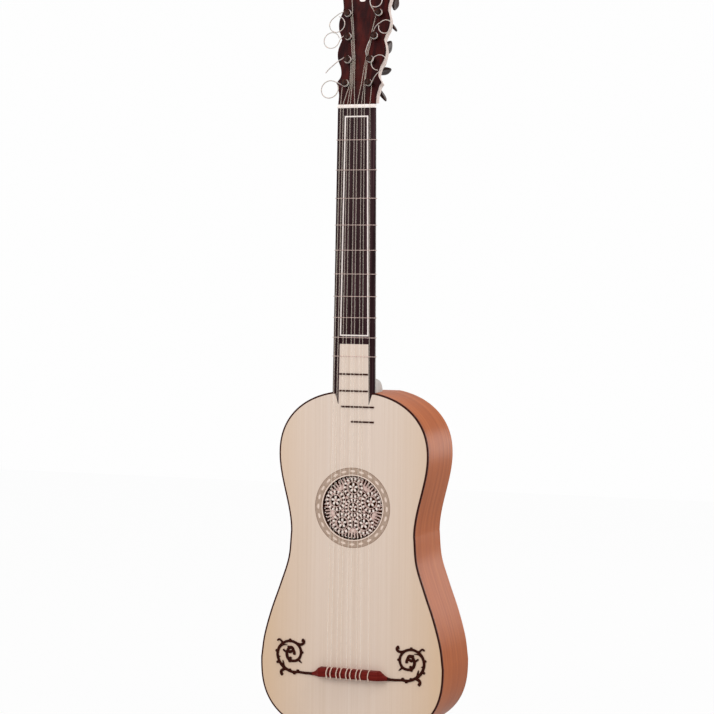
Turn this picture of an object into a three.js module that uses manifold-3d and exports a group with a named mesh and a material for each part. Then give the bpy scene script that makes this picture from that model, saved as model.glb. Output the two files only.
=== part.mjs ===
// Five-course baroque guitar, upright, seen from the front along +Y.
// Millimetres. X runs to the treble side, Y runs into the body and Z runs up the neck.
// The origin is the middle of the nut's front edge, on the plane of the fingerboard and the soundboard.
import * as THREE from "three";
import { mergeVertices } from "three/addons/utils/BufferGeometryUtils.js";
import Module from "manifold-3d";

const wasm = await Module();
wasm.setup();

// Driving dimensions: strings
const STRING_LENGTH = 650;
const NUT_COURSE_PITCH = 8.6;
const NUT_PAIR_SPACING = 3.3;
const BRIDGE_COURSE_PITCH = 12.2;
const BRIDGE_PAIR_SPACING = 4.9;
const FIFTH_COURSE_GAUGE = 1;
const FOURTH_COURSE_GAUGE = 0.9;
const THIRD_COURSE_GAUGE = 0.95;
const SECOND_COURSE_GAUGE = 0.85;
const FIRST_COURSE_GAUGE = 0.75;

// Driving dimensions: body
const BODY_TOP_BELOW_TWELFTH_FRET = 1.8;
const UPPER_BOUT_BELOW_TOP = 72.3;
const WAIST_BELOW_TOP = 163.3;
const LOWER_BOUT_BELOW_TOP = 313.2;
const BODY_LENGTH = 398.8;
const UPPER_BOUT_HALF_WIDTH = 92.2;
const WAIST_HALF_WIDTH = 76.7;
const LOWER_BOUT_HALF_WIDTH = 113.2;
const SHOULDER_ROUNDNESS = 2.23;
const TAIL_ROUNDNESS = 2.63;
const DEPTH_AT_TOP = 85.2;
const DEPTH_AT_BOTTOM = 91.6;
const RIB_THICKNESS = 2;
const SOUNDBOARD_THICKNESS = 2.5;
const BACK_THICKNESS = 2.5;
const BINDING_WIDTH = 2;
const LINING_WIDTH = 6;
const LINING_HEIGHT = 9;
const NECK_BLOCK_LENGTH = 40;
const END_BLOCK_LENGTH = 16;
const BLOCK_HALF_WIDTH = 22;
const BAR_WIDTH = 7;
const BAR_HEIGHT = 14;
const BAR_END_CLEARANCE = 1;
const GLUE_LINE = 0.1;

// Driving dimensions: neck, fingerboard and nut
const NUT_WIDTH = 46.3;
const NECK_WIDTH_AT_BODY = 52;
const NECK_DEPTH_AT_NUT = 16.5;
const NECK_DEPTH_AT_HEEL = 19;
const NECK_SHARPNESS = 1.2;
const HEEL_LENGTH = 16.4;
const HEEL_SHARPNESS = 1.4;
const NUT_LENGTH = 5.5;
const NUT_HEIGHT = 1.5;
const TONGUE_RISE = 14.2;
const TONGUE_TOP_WIDTH = 35.2;
const TONGUE_FOOT_WIDTH = 37;
const BEARD_BELOW_TOP = 13.4;
const BEARD_WIDTH_AT_BODY = 45.6;
const BEARD_TIP_WIDTH = 0.8;
const INLAY_TOP = 9.7;
const INLAY_ABOVE_TONGUE = 10;
const INLAY_MARGIN_AT_NUT = 9.6;
const INLAY_MARGIN_AT_FOOT = 8.5;
const INLAY_LINE_WIDTH = 1.2;
const INLAY_DEPTH = 0.8;
const INLAY_CLEARANCE = 0.1;
const TIED_FRETS = 10;
const FRET_GUT_GAUGE = 0.8;
const FRET_CLEARANCE = 0.3;
const BODY_FRET_WIDTH = 1.5;
const BODY_FRET_HEIGHT = 0.9;
const THIRTEENTH_FRET_LEFT = 15.4;
const FOURTEENTH_FRET_LEFT = 2.8;

// Driving dimensions: head and pegs
const HEAD_LENGTH = 165;
const HEAD_HALF_WIDTH = 31.5;
const HEAD_THICKNESS = 10;
const VENEER_THICKNESS = 1.5;
const HEAD_RAKE = 12.5;
const HEAD_SETBACK = 0.8;
const JOINT_GAP = 0.3;
const PEG_FIRST_ROW = 22.4;
const PEG_ROW_PITCH = 28;
const PEG_HALF_SPREAD = 20.6;
const PEG_TIP_REACH = 11;
const PEG_TIP_RADIUS = 3;
const PEG_SHAFT_RADIUS = 3.4;
const PEG_COLLAR_RADIUS = 5.6;
const PEG_COLLAR_HEIGHT = 2.4;
const PEG_STEM_LENGTH = 16;
const PEG_STEM_RADIUS = 3;
const PEG_GRIP_HALF_WIDTH = 10;
const PEG_GRIP_LENGTH = 23;
const PEG_GRIP_THICKNESS = 6.4;
const PEG_HOLE_CLEARANCE = 0.4;

// Driving dimensions: string ends on the pegs
const WINDING_START_HEIGHT = 4.6;
const WINDING_TURN_GAP = 0.5;
const WINDING_LEAST_TURNS = 1.6;
const TAIL_FIRST_HEIGHT = 12.2;
const TAIL_HEIGHT_STEP = 1.5;
const TAIL_RING_CLIMB = 0.4;
const TAIL_RING_RADIUS = 8.4;
const STRING_END_CLEARANCE = 3.4;
const STRING_SIDE_STEP = 1.35;
const NUT_STRING_CLEARANCE = 0.15;

// Driving dimensions: rose, rosette, bridge and scrolls
const ROSE_BELOW_TOP = 133.1;
const ROSE_OPENING_RADIUS = 37.1;
const ROSE_LAP = 4;
const ROSE_THICKNESS = 2;
const ROSE_OUTER_HOLE_RADIUS = 3.1;
const ROSE_MIDDLE_HOLE_RADIUS = 3.6;
const ROSE_INNER_HOLE_RADIUS = 2.5;
const ROSE_OUTER_RING_RADIUS = 29.5;
const ROSE_MIDDLE_RING_RADIUS = 18.5;
const ROSE_INNER_RING_RADIUS = 8.5;
const ROSETTE_OUTER_RADIUS = 46.5;
const ROSETTE_DEPTH = 0.9;
const BRIDGE_BEFORE_SCALE_END = 3.6;
const BRIDGE_WIDTH = 10.6;
const BRIDGE_HEIGHT = 10;
const BRIDGE_BLOCK_LENGTH = 73;
const BRIDGE_LENGTH = 98;
const BRIDGE_TIP_WIDTH = 2.4;
const BRIDGE_TIP_HEIGHT = 1.6;
const BRIDGE_STRING_HEIGHT = 7;
const BRIDGE_HOLE_CLEARANCE = 0.3;
const LOOP_CLEARANCE = 0.35;
const LOOP_LEAN = 2.1;
const SCROLL_THICKNESS = 1.2;
const SCROLL_RADIUS = 18.5;
const SCROLL_BEYOND_BRIDGE = 24;
const SCROLL_ABOVE_BRIDGE_EDGE = 10.9;
const SCROLL_STROKE_WIDTH = 3.1;
const CUT_OVERRUN = 2;
const MERGE_DISTANCE = 0.0001;

// Counts
const OCTAVE_STEPS = 12;
const SHOULDER_STEPS = 9;
const FLANK_STEPS = 5;
const TAIL_STEPS = 11;
const NECK_SECTION_STEPS = 10;
const STRING_SIDES = 6;
const WINDING_SIDES = 5;
const WINDING_STEPS_A_TURN = 12;
const RING_STEPS = 14;
const PEG_SIDES = 10;
const PEG_HOLE_SIDES = 12;
const CIRCLE_STEPS = 36;
const ROSE_OUTER_HOLES = 14;
const ROSE_MIDDLE_HOLES = 8;
const ROSE_INNER_HOLES = 5;
const ROSE_HOLE_STEPS = 6;

// Places that follow from the sizes above, as distances down from the nut
const fretPlace = (number) => -STRING_LENGTH * (1 - 2 ** (-number / OCTAVE_STEPS));
const BODY_TOP = -fretPlace(OCTAVE_STEPS) + BODY_TOP_BELOW_TWELFTH_FRET;
const UPPER_BOUT_PLACE = BODY_TOP + UPPER_BOUT_BELOW_TOP;
const WAIST_PLACE = BODY_TOP + WAIST_BELOW_TOP;
const LOWER_BOUT_PLACE = BODY_TOP + LOWER_BOUT_BELOW_TOP;
const BODY_BOTTOM = BODY_TOP + BODY_LENGTH;
const TONGUE_TOP = -fretPlace(TIED_FRETS) - TONGUE_RISE;
const BEARD_FOOT = BODY_TOP + BEARD_BELOW_TOP;
const INLAY_FOOT = TONGUE_TOP - INLAY_ABOVE_TONGUE;
const ROSE_PLACE = BODY_TOP + ROSE_BELOW_TOP;
const BRIDGE_FRONT_EDGE = STRING_LENGTH - BRIDGE_BEFORE_SCALE_END;
const SCROLL_CENTRE = BRIDGE_LENGTH / 2 + SCROLL_BEYOND_BRIDGE;
const SCROLL_PLACE = BRIDGE_FRONT_EDGE - SCROLL_ABOVE_BRIDGE_EDGE;

const group = new THREE.Group();

const finishes = {
  spruce: { color: 0xdac8b6, roughness: 0.6 },
  ribWood: { color: 0xbe7855, roughness: 0.45 },
  maple: { color: 0xe6d8c4, roughness: 0.5 },
  darkBoard: { color: 0x2d191c, roughness: 0.4 },
  veneer: { color: 0x46161a, roughness: 0.35 },
  bone: { color: 0xf5ebe6, roughness: 0.35 },
  gut: { color: 0xe2d3c3, roughness: 0.4 },
  ebony: { color: 0x2d140f, roughness: 0.35 },
  bridgeWood: { color: 0x6e231e, roughness: 0.45 },
  innerSpruce: { color: 0xd8c09a, roughness: 0.8 },
  rosette: { color: 0xa58c7d, roughness: 0.6 },
  parchment: { color: 0xcdbcae, roughness: 0.8 },
};

function addPart(name, geometry, finish, parent = group) {
  const material = new THREE.MeshStandardMaterial({ ...finishes[finish], metalness: 0 });
  const mesh = new THREE.Mesh(geometry, material);
  mesh.name = name;
  parent.add(mesh);
  return mesh;
}

// Closed mesh to solid and back, for the few cuts and joins.
function toSolid(geometry) {
  const bare = geometry.clone();
  bare.deleteAttribute("normal");
  bare.deleteAttribute("uv");
  const merged = mergeVertices(bare, MERGE_DISTANCE);
  const vertProperties = Float32Array.from(merged.getAttribute("position").array);
  const triVerts = Uint32Array.from(merged.index.array);
  return new wasm.Manifold(new wasm.Mesh({ numProp: 3, vertProperties, triVerts }));
}

function toGeometry(solid) {
  const mesh = solid.getMesh();
  const geometry = new THREE.BufferGeometry();
  geometry.setAttribute("position", new THREE.BufferAttribute(mesh.vertProperties, 3));
  geometry.setIndex(new THREE.BufferAttribute(mesh.triVerts, 1));
  return geometry;
}

// A panel whose outline lies in X and Z and whose two faces are given as Y along Z.
function panel(outline, frontFace, backFace, holes = []) {
  const corners = outline.map(([x, z]) => new THREE.Vector2(x, z));
  if (THREE.ShapeUtils.isClockWise(corners)) corners.reverse();
  const shape = new THREE.Shape(corners);
  for (const hole of holes) {
    shape.holes.push(new THREE.Path(hole.map(([x, z]) => new THREE.Vector2(x, z))));
  }
  const geometry = new THREE.ExtrudeGeometry(shape, { depth: 1, bevelEnabled: false });
  const position = geometry.getAttribute("position");
  for (let i = 0; i < position.count; i += 1) {
    const z = position.getY(i);
    const share = position.getZ(i);
    const y = (1 - share) * frontFace(z) + share * backFace(z);
    position.setXYZ(i, position.getX(i), y, z);
  }
  return flipped(geometry);
}

// Swapping Y and Z mirrors a mesh, so each triangle is turned round.
function flipped(geometry) {
  const position = geometry.getAttribute("position");
  const corner = new THREE.Vector3();
  const other = new THREE.Vector3();
  for (let i = 0; i < position.count; i += 3) {
    corner.fromBufferAttribute(position, i + 1);
    other.fromBufferAttribute(position, i + 2);
    position.setXYZ(i + 1, other.x, other.y, other.z);
    position.setXYZ(i + 2, corner.x, corner.y, corner.z);
  }
  return geometry;
}

const flat = (y) => () => y;

function box(xLow, xHigh, yLow, yHigh, zLow, zHigh) {
  const geometry = new THREE.BoxGeometry(xHigh - xLow, yHigh - yLow, zHigh - zLow);
  return geometry.translate((xLow + xHigh) / 2, (yLow + yHigh) / 2, (zLow + zHigh) / 2);
}

function circle(centreX, centreZ, radius, steps) {
  const points = [];
  for (let i = 0; i < steps; i += 1) {
    const angle = (2 * Math.PI * i) / steps;
    points.push([centreX + radius * Math.cos(angle), centreZ + radius * Math.sin(angle)]);
  }
  return points;
}

// A path that meets each of its points at an even parameter, so every point becomes one ring of a tube.
class RoutedPath extends THREE.CatmullRomCurve3 {
  getPointAt(u, target) {
    return this.getPoint(u, target);
  }
  getTangentAt(u, target) {
    return this.getTangent(u, target);
  }
}

function tube(points, gauge, sides) {
  const ring = circle(0, 0, gauge / 2, sides);
  const section = new THREE.Shape(ring.map(([x, y]) => new THREE.Vector2(x, y)));
  const extrudePath = new RoutedPath(points);
  return new THREE.ExtrudeGeometry(section, { steps: points.length - 1, extrudePath, bevelEnabled: false });
}

const mirrored = (points) => points.map(([x, z]) => [-x, z]).reverse();

// Body outline, treble half, from the middle of the neck joint to the middle of the tail.
// The shoulder and the tail are superellipses, and the flanks ease between the bouts.
const lowerFlankShares = [
  [0.208, 0.082],
  [0.416, 0.358],
  [0.624, 0.668],
  [0.828, 0.902],
];
const beardHalfWidth = BEARD_WIDTH_AT_BODY / 2;
const bodyNeckHalfWidth = NECK_WIDTH_AT_BODY / 2;

function halfOutline() {
  const points = [
    [0, -BODY_TOP],
    [beardHalfWidth, -BODY_TOP],
    [bodyNeckHalfWidth, -BODY_TOP],
  ];
  const neckShare = (bodyNeckHalfWidth / UPPER_BOUT_HALF_WIDTH) ** SHOULDER_ROUNDNESS;
  const neckAngle = Math.asin(Math.sqrt(1 - neckShare));
  const shoulderHeight = (UPPER_BOUT_PLACE - BODY_TOP) / (1 - neckShare) ** (1 / SHOULDER_ROUNDNESS);
  for (let i = 1; i <= SHOULDER_STEPS; i += 1) {
    const angle = neckAngle * (1 - i / SHOULDER_STEPS);
    const x = UPPER_BOUT_HALF_WIDTH * Math.cos(angle) ** (2 / SHOULDER_ROUNDNESS);
    points.push([x, -UPPER_BOUT_PLACE + shoulderHeight * Math.sin(angle) ** (2 / SHOULDER_ROUNDNESS)]);
  }
  for (let i = 1; i <= FLANK_STEPS; i += 1) {
    const share = i / FLANK_STEPS;
    const ease = share * share * (3 - 2 * share);
    const z = UPPER_BOUT_PLACE + share * (WAIST_PLACE - UPPER_BOUT_PLACE);
    points.push([UPPER_BOUT_HALF_WIDTH + ease * (WAIST_HALF_WIDTH - UPPER_BOUT_HALF_WIDTH), -z]);
  }
  for (const [placeShare, widthShare] of [...lowerFlankShares, [1, 1]]) {
    const z = WAIST_PLACE + placeShare * (LOWER_BOUT_PLACE - WAIST_PLACE);
    points.push([WAIST_HALF_WIDTH + widthShare * (LOWER_BOUT_HALF_WIDTH - WAIST_HALF_WIDTH), -z]);
  }
  const flatShare = (bodyNeckHalfWidth / LOWER_BOUT_HALF_WIDTH) ** TAIL_ROUNDNESS;
  const lastAngle = Math.asin(Math.sqrt(1 - flatShare));
  const tailHeight = (BODY_BOTTOM - LOWER_BOUT_PLACE) / (1 - flatShare) ** (1 / TAIL_ROUNDNESS);
  for (let i = 1; i <= TAIL_STEPS; i += 1) {
    const angle = (lastAngle * i) / TAIL_STEPS;
    const x = LOWER_BOUT_HALF_WIDTH * Math.cos(angle) ** (2 / TAIL_ROUNDNESS);
    points.push([x, -LOWER_BOUT_PLACE - tailHeight * Math.sin(angle) ** (2 / TAIL_ROUNDNESS)]);
  }
  points.push([0, -BODY_BOTTOM]);
  return points;
}

// The same line drawn parallel inside, with the first and last points kept on their own lines.
function inset(points, distance) {
  const normals = points.slice(1).map(([x, z], i) => {
    const run = new THREE.Vector2(x - points[i][0], z - points[i][1]).normalize();
    return new THREE.Vector2(run.y, -run.x);
  });
  return points.map(([x, z], i) => {
    const before = normals[Math.max(i - 1, 0)];
    const after = normals[Math.min(i, normals.length - 1)];
    const middle = before.clone().add(after).normalize();
    const reach = distance / middle.dot(before);
    return [x + middle.x * reach, z + middle.y * reach];
  });
}

const outline = halfOutline();
const ribInside = inset(outline, RIB_THICKNESS);
const bindingInside = inset(outline, BINDING_WIDTH);
const backSlope = (DEPTH_AT_BOTTOM - DEPTH_AT_TOP) / (BODY_BOTTOM - BODY_TOP);
const backOuter = (z) => DEPTH_AT_TOP + backSlope * (-z - BODY_TOP);
const backInner = (z) => backOuter(z) - BACK_THICKNESS;
const backSeat = (z) => backInner(z) - GLUE_LINE;
const underSoundboard = flat(SOUNDBOARD_THICKNESS);

// Half the width of the body at a place along Z.
function halfWidthAt(z) {
  for (let i = 1; i < outline.length; i += 1) {
    const [x0, z0] = outline[i - 1];
    const [x1, z1] = outline[i];
    if (z0 > z1 && z <= z0 && z >= z1) return x0 + ((z0 - z) / (z0 - z1)) * (x1 - x0);
  }
  return 0;
}

function makeRibs() {
  const trebleHalf = [...outline, ...ribInside.slice().reverse()];
  addPart("rib_treble", panel(trebleHalf, underSoundboard, backSeat), "ribWood");
  addPart("rib_bass", panel(mirrored(trebleHalf), underSoundboard, backSeat), "ribWood");
}

function makeBack() {
  const whole = [...outline, ...mirrored(outline).slice(1, -1)];
  addPart("back", panel(whole, backInner, backOuter), "ribWood");
}

// A bent strip that runs along the ribs from one side of the neck to the other.
function bentStrip(outer, inner, frontFace, backFace) {
  const around = [...outer, ...mirrored(outer).slice(1)];
  const inside = [...inner, ...mirrored(inner).slice(1)];
  return panel([...around, ...inside.reverse()], frontFace, backFace);
}

function makeBindingAndLinings() {
  const flatFace = flat(0);
  const strip = bentStrip(outline.slice(1), bindingInside.slice(1), flatFace, underSoundboard);
  addPart("front_binding", strip, "ebony");
  const seat = RIB_THICKNESS + GLUE_LINE;
  const outer = inset(outline, seat).slice(2);
  const inner = inset(outline, seat + LINING_WIDTH).slice(2);
  const frontLining = bentStrip(outer, inner, underSoundboard, flat(SOUNDBOARD_THICKNESS + LINING_HEIGHT));
  addPart("front_lining", frontLining, "innerSpruce");
  const liningFront = (z) => backSeat(z) - LINING_HEIGHT;
  addPart("back_lining", bentStrip(outer, inner, liningFront, backSeat), "innerSpruce");
}

function makeBlocksAndBars() {
  const blockTop = -BODY_TOP - RIB_THICKNESS;
  const neckBlock = [
    [-BLOCK_HALF_WIDTH, blockTop],
    [BLOCK_HALF_WIDTH, blockTop],
    [BLOCK_HALF_WIDTH, blockTop - NECK_BLOCK_LENGTH],
    [-BLOCK_HALF_WIDTH, blockTop - NECK_BLOCK_LENGTH],
  ];
  addPart("neck_block", panel(neckBlock, underSoundboard, backSeat), "innerSpruce");
  const blockFoot = -BODY_BOTTOM + RIB_THICKNESS;
  const endBlock = [
    [-BLOCK_HALF_WIDTH, blockFoot],
    [BLOCK_HALF_WIDTH, blockFoot],
    [BLOCK_HALF_WIDTH, blockFoot + END_BLOCK_LENGTH],
    [-BLOCK_HALF_WIDTH, blockFoot + END_BLOCK_LENGTH],
  ];
  const endFront = flat(SOUNDBOARD_THICKNESS + LINING_HEIGHT + GLUE_LINE);
  const endBack = (z) => backSeat(z) - LINING_HEIGHT - GLUE_LINE;
  addPart("end_block", panel(endBlock, endFront, endBack), "innerSpruce");
  const upperBar = -ROSE_PLACE + ROSETTE_OUTER_RADIUS + BAR_WIDTH;
  const lowerBar = -ROSE_PLACE - ROSETTE_OUTER_RADIUS - BAR_WIDTH;
  const places = { soundboard_bar_upper: upperBar, soundboard_bar_lower: lowerBar };
  for (const [name, z] of Object.entries(places)) {
    const low = z - BAR_WIDTH / 2;
    const high = z + BAR_WIDTH / 2;
    const half = Math.min(halfWidthAt(low), halfWidthAt(high)) - RIB_THICKNESS - LINING_WIDTH;
    const reach = half - BAR_END_CLEARANCE;
    const back = SOUNDBOARD_THICKNESS + BAR_HEIGHT;
    addPart(name, box(-reach, reach, SOUNDBOARD_THICKNESS, back, low, high), "innerSpruce");
  }
}

// Fingerboard half outline from the nut to the beard, and the soundboard's tongue between the beards.
const boardHalfWidth = (z) => (NUT_WIDTH + ((NECK_WIDTH_AT_BODY - NUT_WIDTH) * -z) / BODY_TOP) / 2;
const tongueTop = [TONGUE_TOP_WIDTH / 2, -TONGUE_TOP];
const tongueFoot = [TONGUE_FOOT_WIDTH / 2, -BEARD_FOOT];
const beardTip = [TONGUE_FOOT_WIDTH / 2 + BEARD_TIP_WIDTH, -BEARD_FOOT];
const beardCurveShares = [
  [0.3, 0.33],
  [0.6, 0.62],
];

function beardEdge() {
  const [startX, startZ] = bindingInside[1];
  const curve = beardCurveShares.map(([downShare, inShare]) => [
    startX + (beardTip[0] - startX) * inShare,
    startZ + (beardTip[1] - startZ) * downShare,
  ]);
  return [bindingInside[1], ...curve, beardTip];
}

function makeSoundboard() {
  const half = [tongueTop, tongueFoot, ...beardEdge().reverse(), ...bindingInside.slice(2)];
  const whole = [...half, ...mirrored(half).slice(1)];
  const opening = circle(0, -ROSE_PLACE, ROSE_OPENING_RADIUS, CIRCLE_STEPS);
  let solid = toSolid(panel(whole, flat(0), underSoundboard, [opening]));
  const seatRadius = ROSETTE_OUTER_RADIUS + INLAY_CLEARANCE;
  const seat = circle(0, -ROSE_PLACE, seatRadius, CIRCLE_STEPS);
  const seatPanel = panel(seat, flat(-CUT_OVERRUN), flat(ROSETTE_DEPTH + INLAY_CLEARANCE));
  solid = solid.subtract(toSolid(seatPanel));
  const boardEdge = NECK_WIDTH_AT_BODY / 2;
  const bodyFretSpans = [
    [11, -TONGUE_TOP_WIDTH / 2, TONGUE_TOP_WIDTH / 2],
    [12, -TONGUE_TOP_WIDTH / 2, TONGUE_TOP_WIDTH / 2],
    [13, -THIRTEENTH_FRET_LEFT, boardEdge],
    [14, -FOURTEENTH_FRET_LEFT, boardEdge],
  ];
  for (const [number, left, right] of bodyFretSpans) {
    const z = fretPlace(number);
    const low = z - BODY_FRET_WIDTH / 2;
    const bar = box(left, right, -BODY_FRET_HEIGHT, BODY_FRET_HEIGHT / 2, low, low + BODY_FRET_WIDTH);
    solid = solid.add(toSolid(bar));
  }
  addPart("soundboard", toGeometry(solid), "spruce");
}

function inlayLine(growth) {
  const topHalf = boardHalfWidth(-INLAY_TOP) - INLAY_MARGIN_AT_NUT;
  const footHalf = boardHalfWidth(-INLAY_FOOT) - INLAY_MARGIN_AT_FOOT;
  const outer = INLAY_LINE_WIDTH / 2 + growth;
  const frame = (reach) => [
    [-topHalf - reach, -INLAY_TOP + reach],
    [topHalf + reach, -INLAY_TOP + reach],
    [footHalf + reach, -INLAY_FOOT - reach],
    [-footHalf - reach, -INLAY_FOOT - reach],
  ];
  return [frame(outer), frame(-outer)];
}

function makeFingerboard() {
  const half = [[NUT_WIDTH / 2, 0], outline[2], outline[1], ...beardEdge(), tongueFoot, tongueTop];
  const whole = [...half, ...mirrored(half)];
  let solid = toSolid(panel(whole, flat(0), underSoundboard));
  const [seatOuter, seatInner] = inlayLine(INLAY_CLEARANCE);
  const seat = panel(seatOuter, flat(-CUT_OVERRUN), flat(INLAY_DEPTH + INLAY_CLEARANCE), [seatInner]);
  solid = solid.subtract(toSolid(seat));
  addPart("fingerboard", toGeometry(solid), "darkBoard");
  const [lineOuter, lineInner] = inlayLine(0);
  addPart("fingerboard_inlay", panel(lineOuter, flat(0), flat(INLAY_DEPTH), [lineInner]), "bone");
}

// Neck: half-ellipse sections behind the fingerboard, ending in a short steep heel.
const headBackAtNut = HEAD_SETBACK + VENEER_THICKNESS + JOINT_GAP + HEAD_THICKNESS;
const heelDepth = DEPTH_AT_TOP - SOUNDBOARD_THICKNESS - BACK_THICKNESS;
const neckDepthShares = [
  [0.02, 0.32],
  [0.05, 0.8],
  [0.09, 1],
];
const heelShares = [
  [0, 0],
  [0.02, 0.2],
  [0.08, 0.42],
  [0.2, 0.66],
  [0.4, 0.85],
  [0.7, 0.97],
  [1, 1],
];

function neckStations() {
  const headDepth = headBackAtNut - SOUNDBOARD_THICKNESS;
  const neckLength = BODY_TOP - HEEL_LENGTH;
  const stations = [[NUT_LENGTH, headDepth, NECK_SHARPNESS]];
  for (const [placeShare, riseShare] of neckDepthShares) {
    const depth = headDepth + riseShare * (NECK_DEPTH_AT_NUT - headDepth);
    stations.push([-placeShare * neckLength, depth, NECK_SHARPNESS]);
  }
  const heelTop = -neckLength;
  for (const [placeShare, riseShare] of heelShares) {
    const z = heelTop - placeShare * HEEL_LENGTH;
    const depth = NECK_DEPTH_AT_HEEL + riseShare * (heelDepth - NECK_DEPTH_AT_HEEL);
    stations.push([z, depth, NECK_SHARPNESS + riseShare * (HEEL_SHARPNESS - NECK_SHARPNESS)]);
  }
  return stations;
}

function neckSection(z, depth, sharpness) {
  const half = z > 0 ? NUT_WIDTH / 2 : boardHalfWidth(z);
  const points = [];
  for (let i = 0; i <= NECK_SECTION_STEPS; i += 1) {
    const angle = (Math.PI * i) / NECK_SECTION_STEPS;
    const across = Math.sign(Math.cos(angle)) * Math.abs(Math.cos(angle)) ** sharpness;
    const deep = i % NECK_SECTION_STEPS === 0 ? 0 : Math.sin(angle) ** sharpness;
    points.push([half * across, SOUNDBOARD_THICKNESS + depth * deep]);
  }
  return points;
}

// Depth of the neck behind the fingerboard at a place along Z, read off its stations.
function neckDepthAt(z) {
  const stations = neckStations();
  for (let i = 1; i < stations.length; i += 1) {
    const [z0, depth0] = stations[i - 1];
    const [z1, depth1] = stations[i];
    if (z <= z0 && z >= z1) return depth0 + ((z0 - z) / (z0 - z1)) * (depth1 - depth0);
  }
  return NECK_DEPTH_AT_HEEL;
}

function makeNeck() {
  const rings = neckStations().map(([z, depth, sharpness]) =>
    neckSection(z, depth, sharpness).map(([x, y]) => new THREE.Vector3(x, y, z)),
  );
  const count = rings[0].length;
  const vertices = [];
  const triangle = (a, b, c) => vertices.push(...a.toArray(), ...b.toArray(), ...c.toArray());
  for (let r = 1; r < rings.length; r += 1) {
    for (let i = 0; i < count; i += 1) {
      const next = (i + 1) % count;
      triangle(rings[r - 1][i], rings[r][i], rings[r][next]);
      triangle(rings[r - 1][i], rings[r][next], rings[r - 1][next]);
    }
  }
  const last = rings[rings.length - 1];
  for (let i = 1; i < count - 1; i += 1) {
    triangle(rings[0][0], rings[0][i], rings[0][i + 1]);
    triangle(last[0], last[i + 1], last[i]);
  }
  const geometry = new THREE.BufferGeometry();
  geometry.setAttribute("position", new THREE.Float32BufferAttribute(vertices, 3));
  addPart("neck", geometry, "maple");
}

// Tied gut frets: each is one closed loop round the fingerboard and the neck.
function neckLoop(z, reach) {
  const half = boardHalfWidth(z) + reach;
  const depth = neckDepthAt(z) + reach;
  const points = [[half, -reach], [half, SOUNDBOARD_THICKNESS]];
  for (let i = 1; i < NECK_SECTION_STEPS; i += 1) {
    const angle = (Math.PI * i) / NECK_SECTION_STEPS;
    const across = Math.sign(Math.cos(angle)) * Math.abs(Math.cos(angle)) ** NECK_SHARPNESS;
    points.push([half * across, SOUNDBOARD_THICKNESS + depth * Math.sin(angle) ** NECK_SHARPNESS]);
  }
  points.push([-half, SOUNDBOARD_THICKNESS], [-half, -reach]);
  return points.map(([x, y]) => new THREE.Vector2(x, y));
}

function makeTiedFrets() {
  for (let number = 1; number <= TIED_FRETS; number += 1) {
    const z = fretPlace(number);
    const shape = new THREE.Shape(neckLoop(z, FRET_CLEARANCE + FRET_GUT_GAUGE));
    shape.holes.push(new THREE.Path(neckLoop(z, FRET_CLEARANCE)));
    const geometry = new THREE.ExtrudeGeometry(shape, { depth: FRET_GUT_GAUGE, bevelEnabled: false });
    geometry.translate(0, 0, z - FRET_GUT_GAUGE / 2);
    addPart("tied_fret_" + String(number).padStart(2, "0"), geometry, "gut");
  }
}

function makeNut() {
  const half = NUT_WIDTH / 2;
  addPart("nut", box(-half, half, -NUT_HEIGHT, SOUNDBOARD_THICKNESS, 0, NUT_LENGTH), "bone");
}

// Head: a raked plate with a scalloped edge, faced with veneer. Its parts share one turned group.
const headGroup = new THREE.Group();
headGroup.rotation.x = -THREE.MathUtils.degToRad(HEAD_RAKE);
headGroup.position.set(0, HEAD_SETBACK, NUT_LENGTH);
group.add(headGroup);
headGroup.updateMatrixWorld(true);

const headEdgeShares = [
  [0, 0.735],
  [0.06, 0.737],
  [0.097, 0.78],
  [0.125, 0.805],
  [0.148, 0.883],
  [0.168, 0.815],
  [0.188, 0.75],
  [0.215, 0.725],
  [0.262, 0.77],
  [0.305, 0.875],
  [0.34, 0.93],
  [0.382, 0.94],
  [0.428, 0.886],
  [0.46, 0.825],
  [0.5, 0.886],
  [0.534, 0.965],
  [0.576, 1],
  [0.612, 0.987],
  [0.65, 0.924],
  [0.672, 0.885],
  [0.704, 0.876],
  [0.758, 0.927],
  [0.8, 0.962],
  [0.842, 0.94],
  [0.878, 0.825],
  [0.9, 0.68],
  [0.915, 0.56],
  [0.936, 0.575],
  [0.962, 0.52],
  [0.986, 0.34],
  [1, 0.12],
];
const pegColumnShares = [0.695, 0.665, 0.785, 0.925, 1];

const pegPlaces = [];
for (const side of [-1, 1]) {
  pegColumnShares.forEach((share, row) => {
    const name = (side < 0 ? "peg_bass_" : "peg_treble_") + (row + 1);
    const x = side * share * PEG_HALF_SPREAD;
    pegPlaces.push({ name, side, row, x, z: PEG_FIRST_ROW + row * PEG_ROW_PITCH });
  });
}

function headLayer(front, back) {
  const half = headEdgeShares.map(([upShare, outShare]) => [
    outShare * HEAD_HALF_WIDTH,
    upShare * HEAD_LENGTH,
  ]);
  const holeRadius = PEG_SHAFT_RADIUS + PEG_HOLE_CLEARANCE;
  const holes = pegPlaces.map(({ x, z }) => circle(x, z, holeRadius, PEG_HOLE_SIDES));
  const geometry = panel([...half, ...mirrored(half)], flat(front), flat(back), holes);
  const position = geometry.getAttribute("position");
  const rake = THREE.MathUtils.degToRad(HEAD_RAKE);
  for (let i = 0; i < position.count; i += 1) {
    if (position.getZ(i) === 0) {
      const level = JOINT_GAP + position.getY(i) * Math.sin(rake);
      position.setZ(i, level / Math.cos(rake));
    }
  }
  return geometry;
}

const headFront = VENEER_THICKNESS + JOINT_GAP;
const headBack = headFront + HEAD_THICKNESS;

function makeHead() {
  addPart("head_veneer", headLayer(0, VENEER_THICKNESS), "veneer", headGroup);
  addPart("head", headLayer(headFront, headBack), "maple", headGroup);
}

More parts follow.
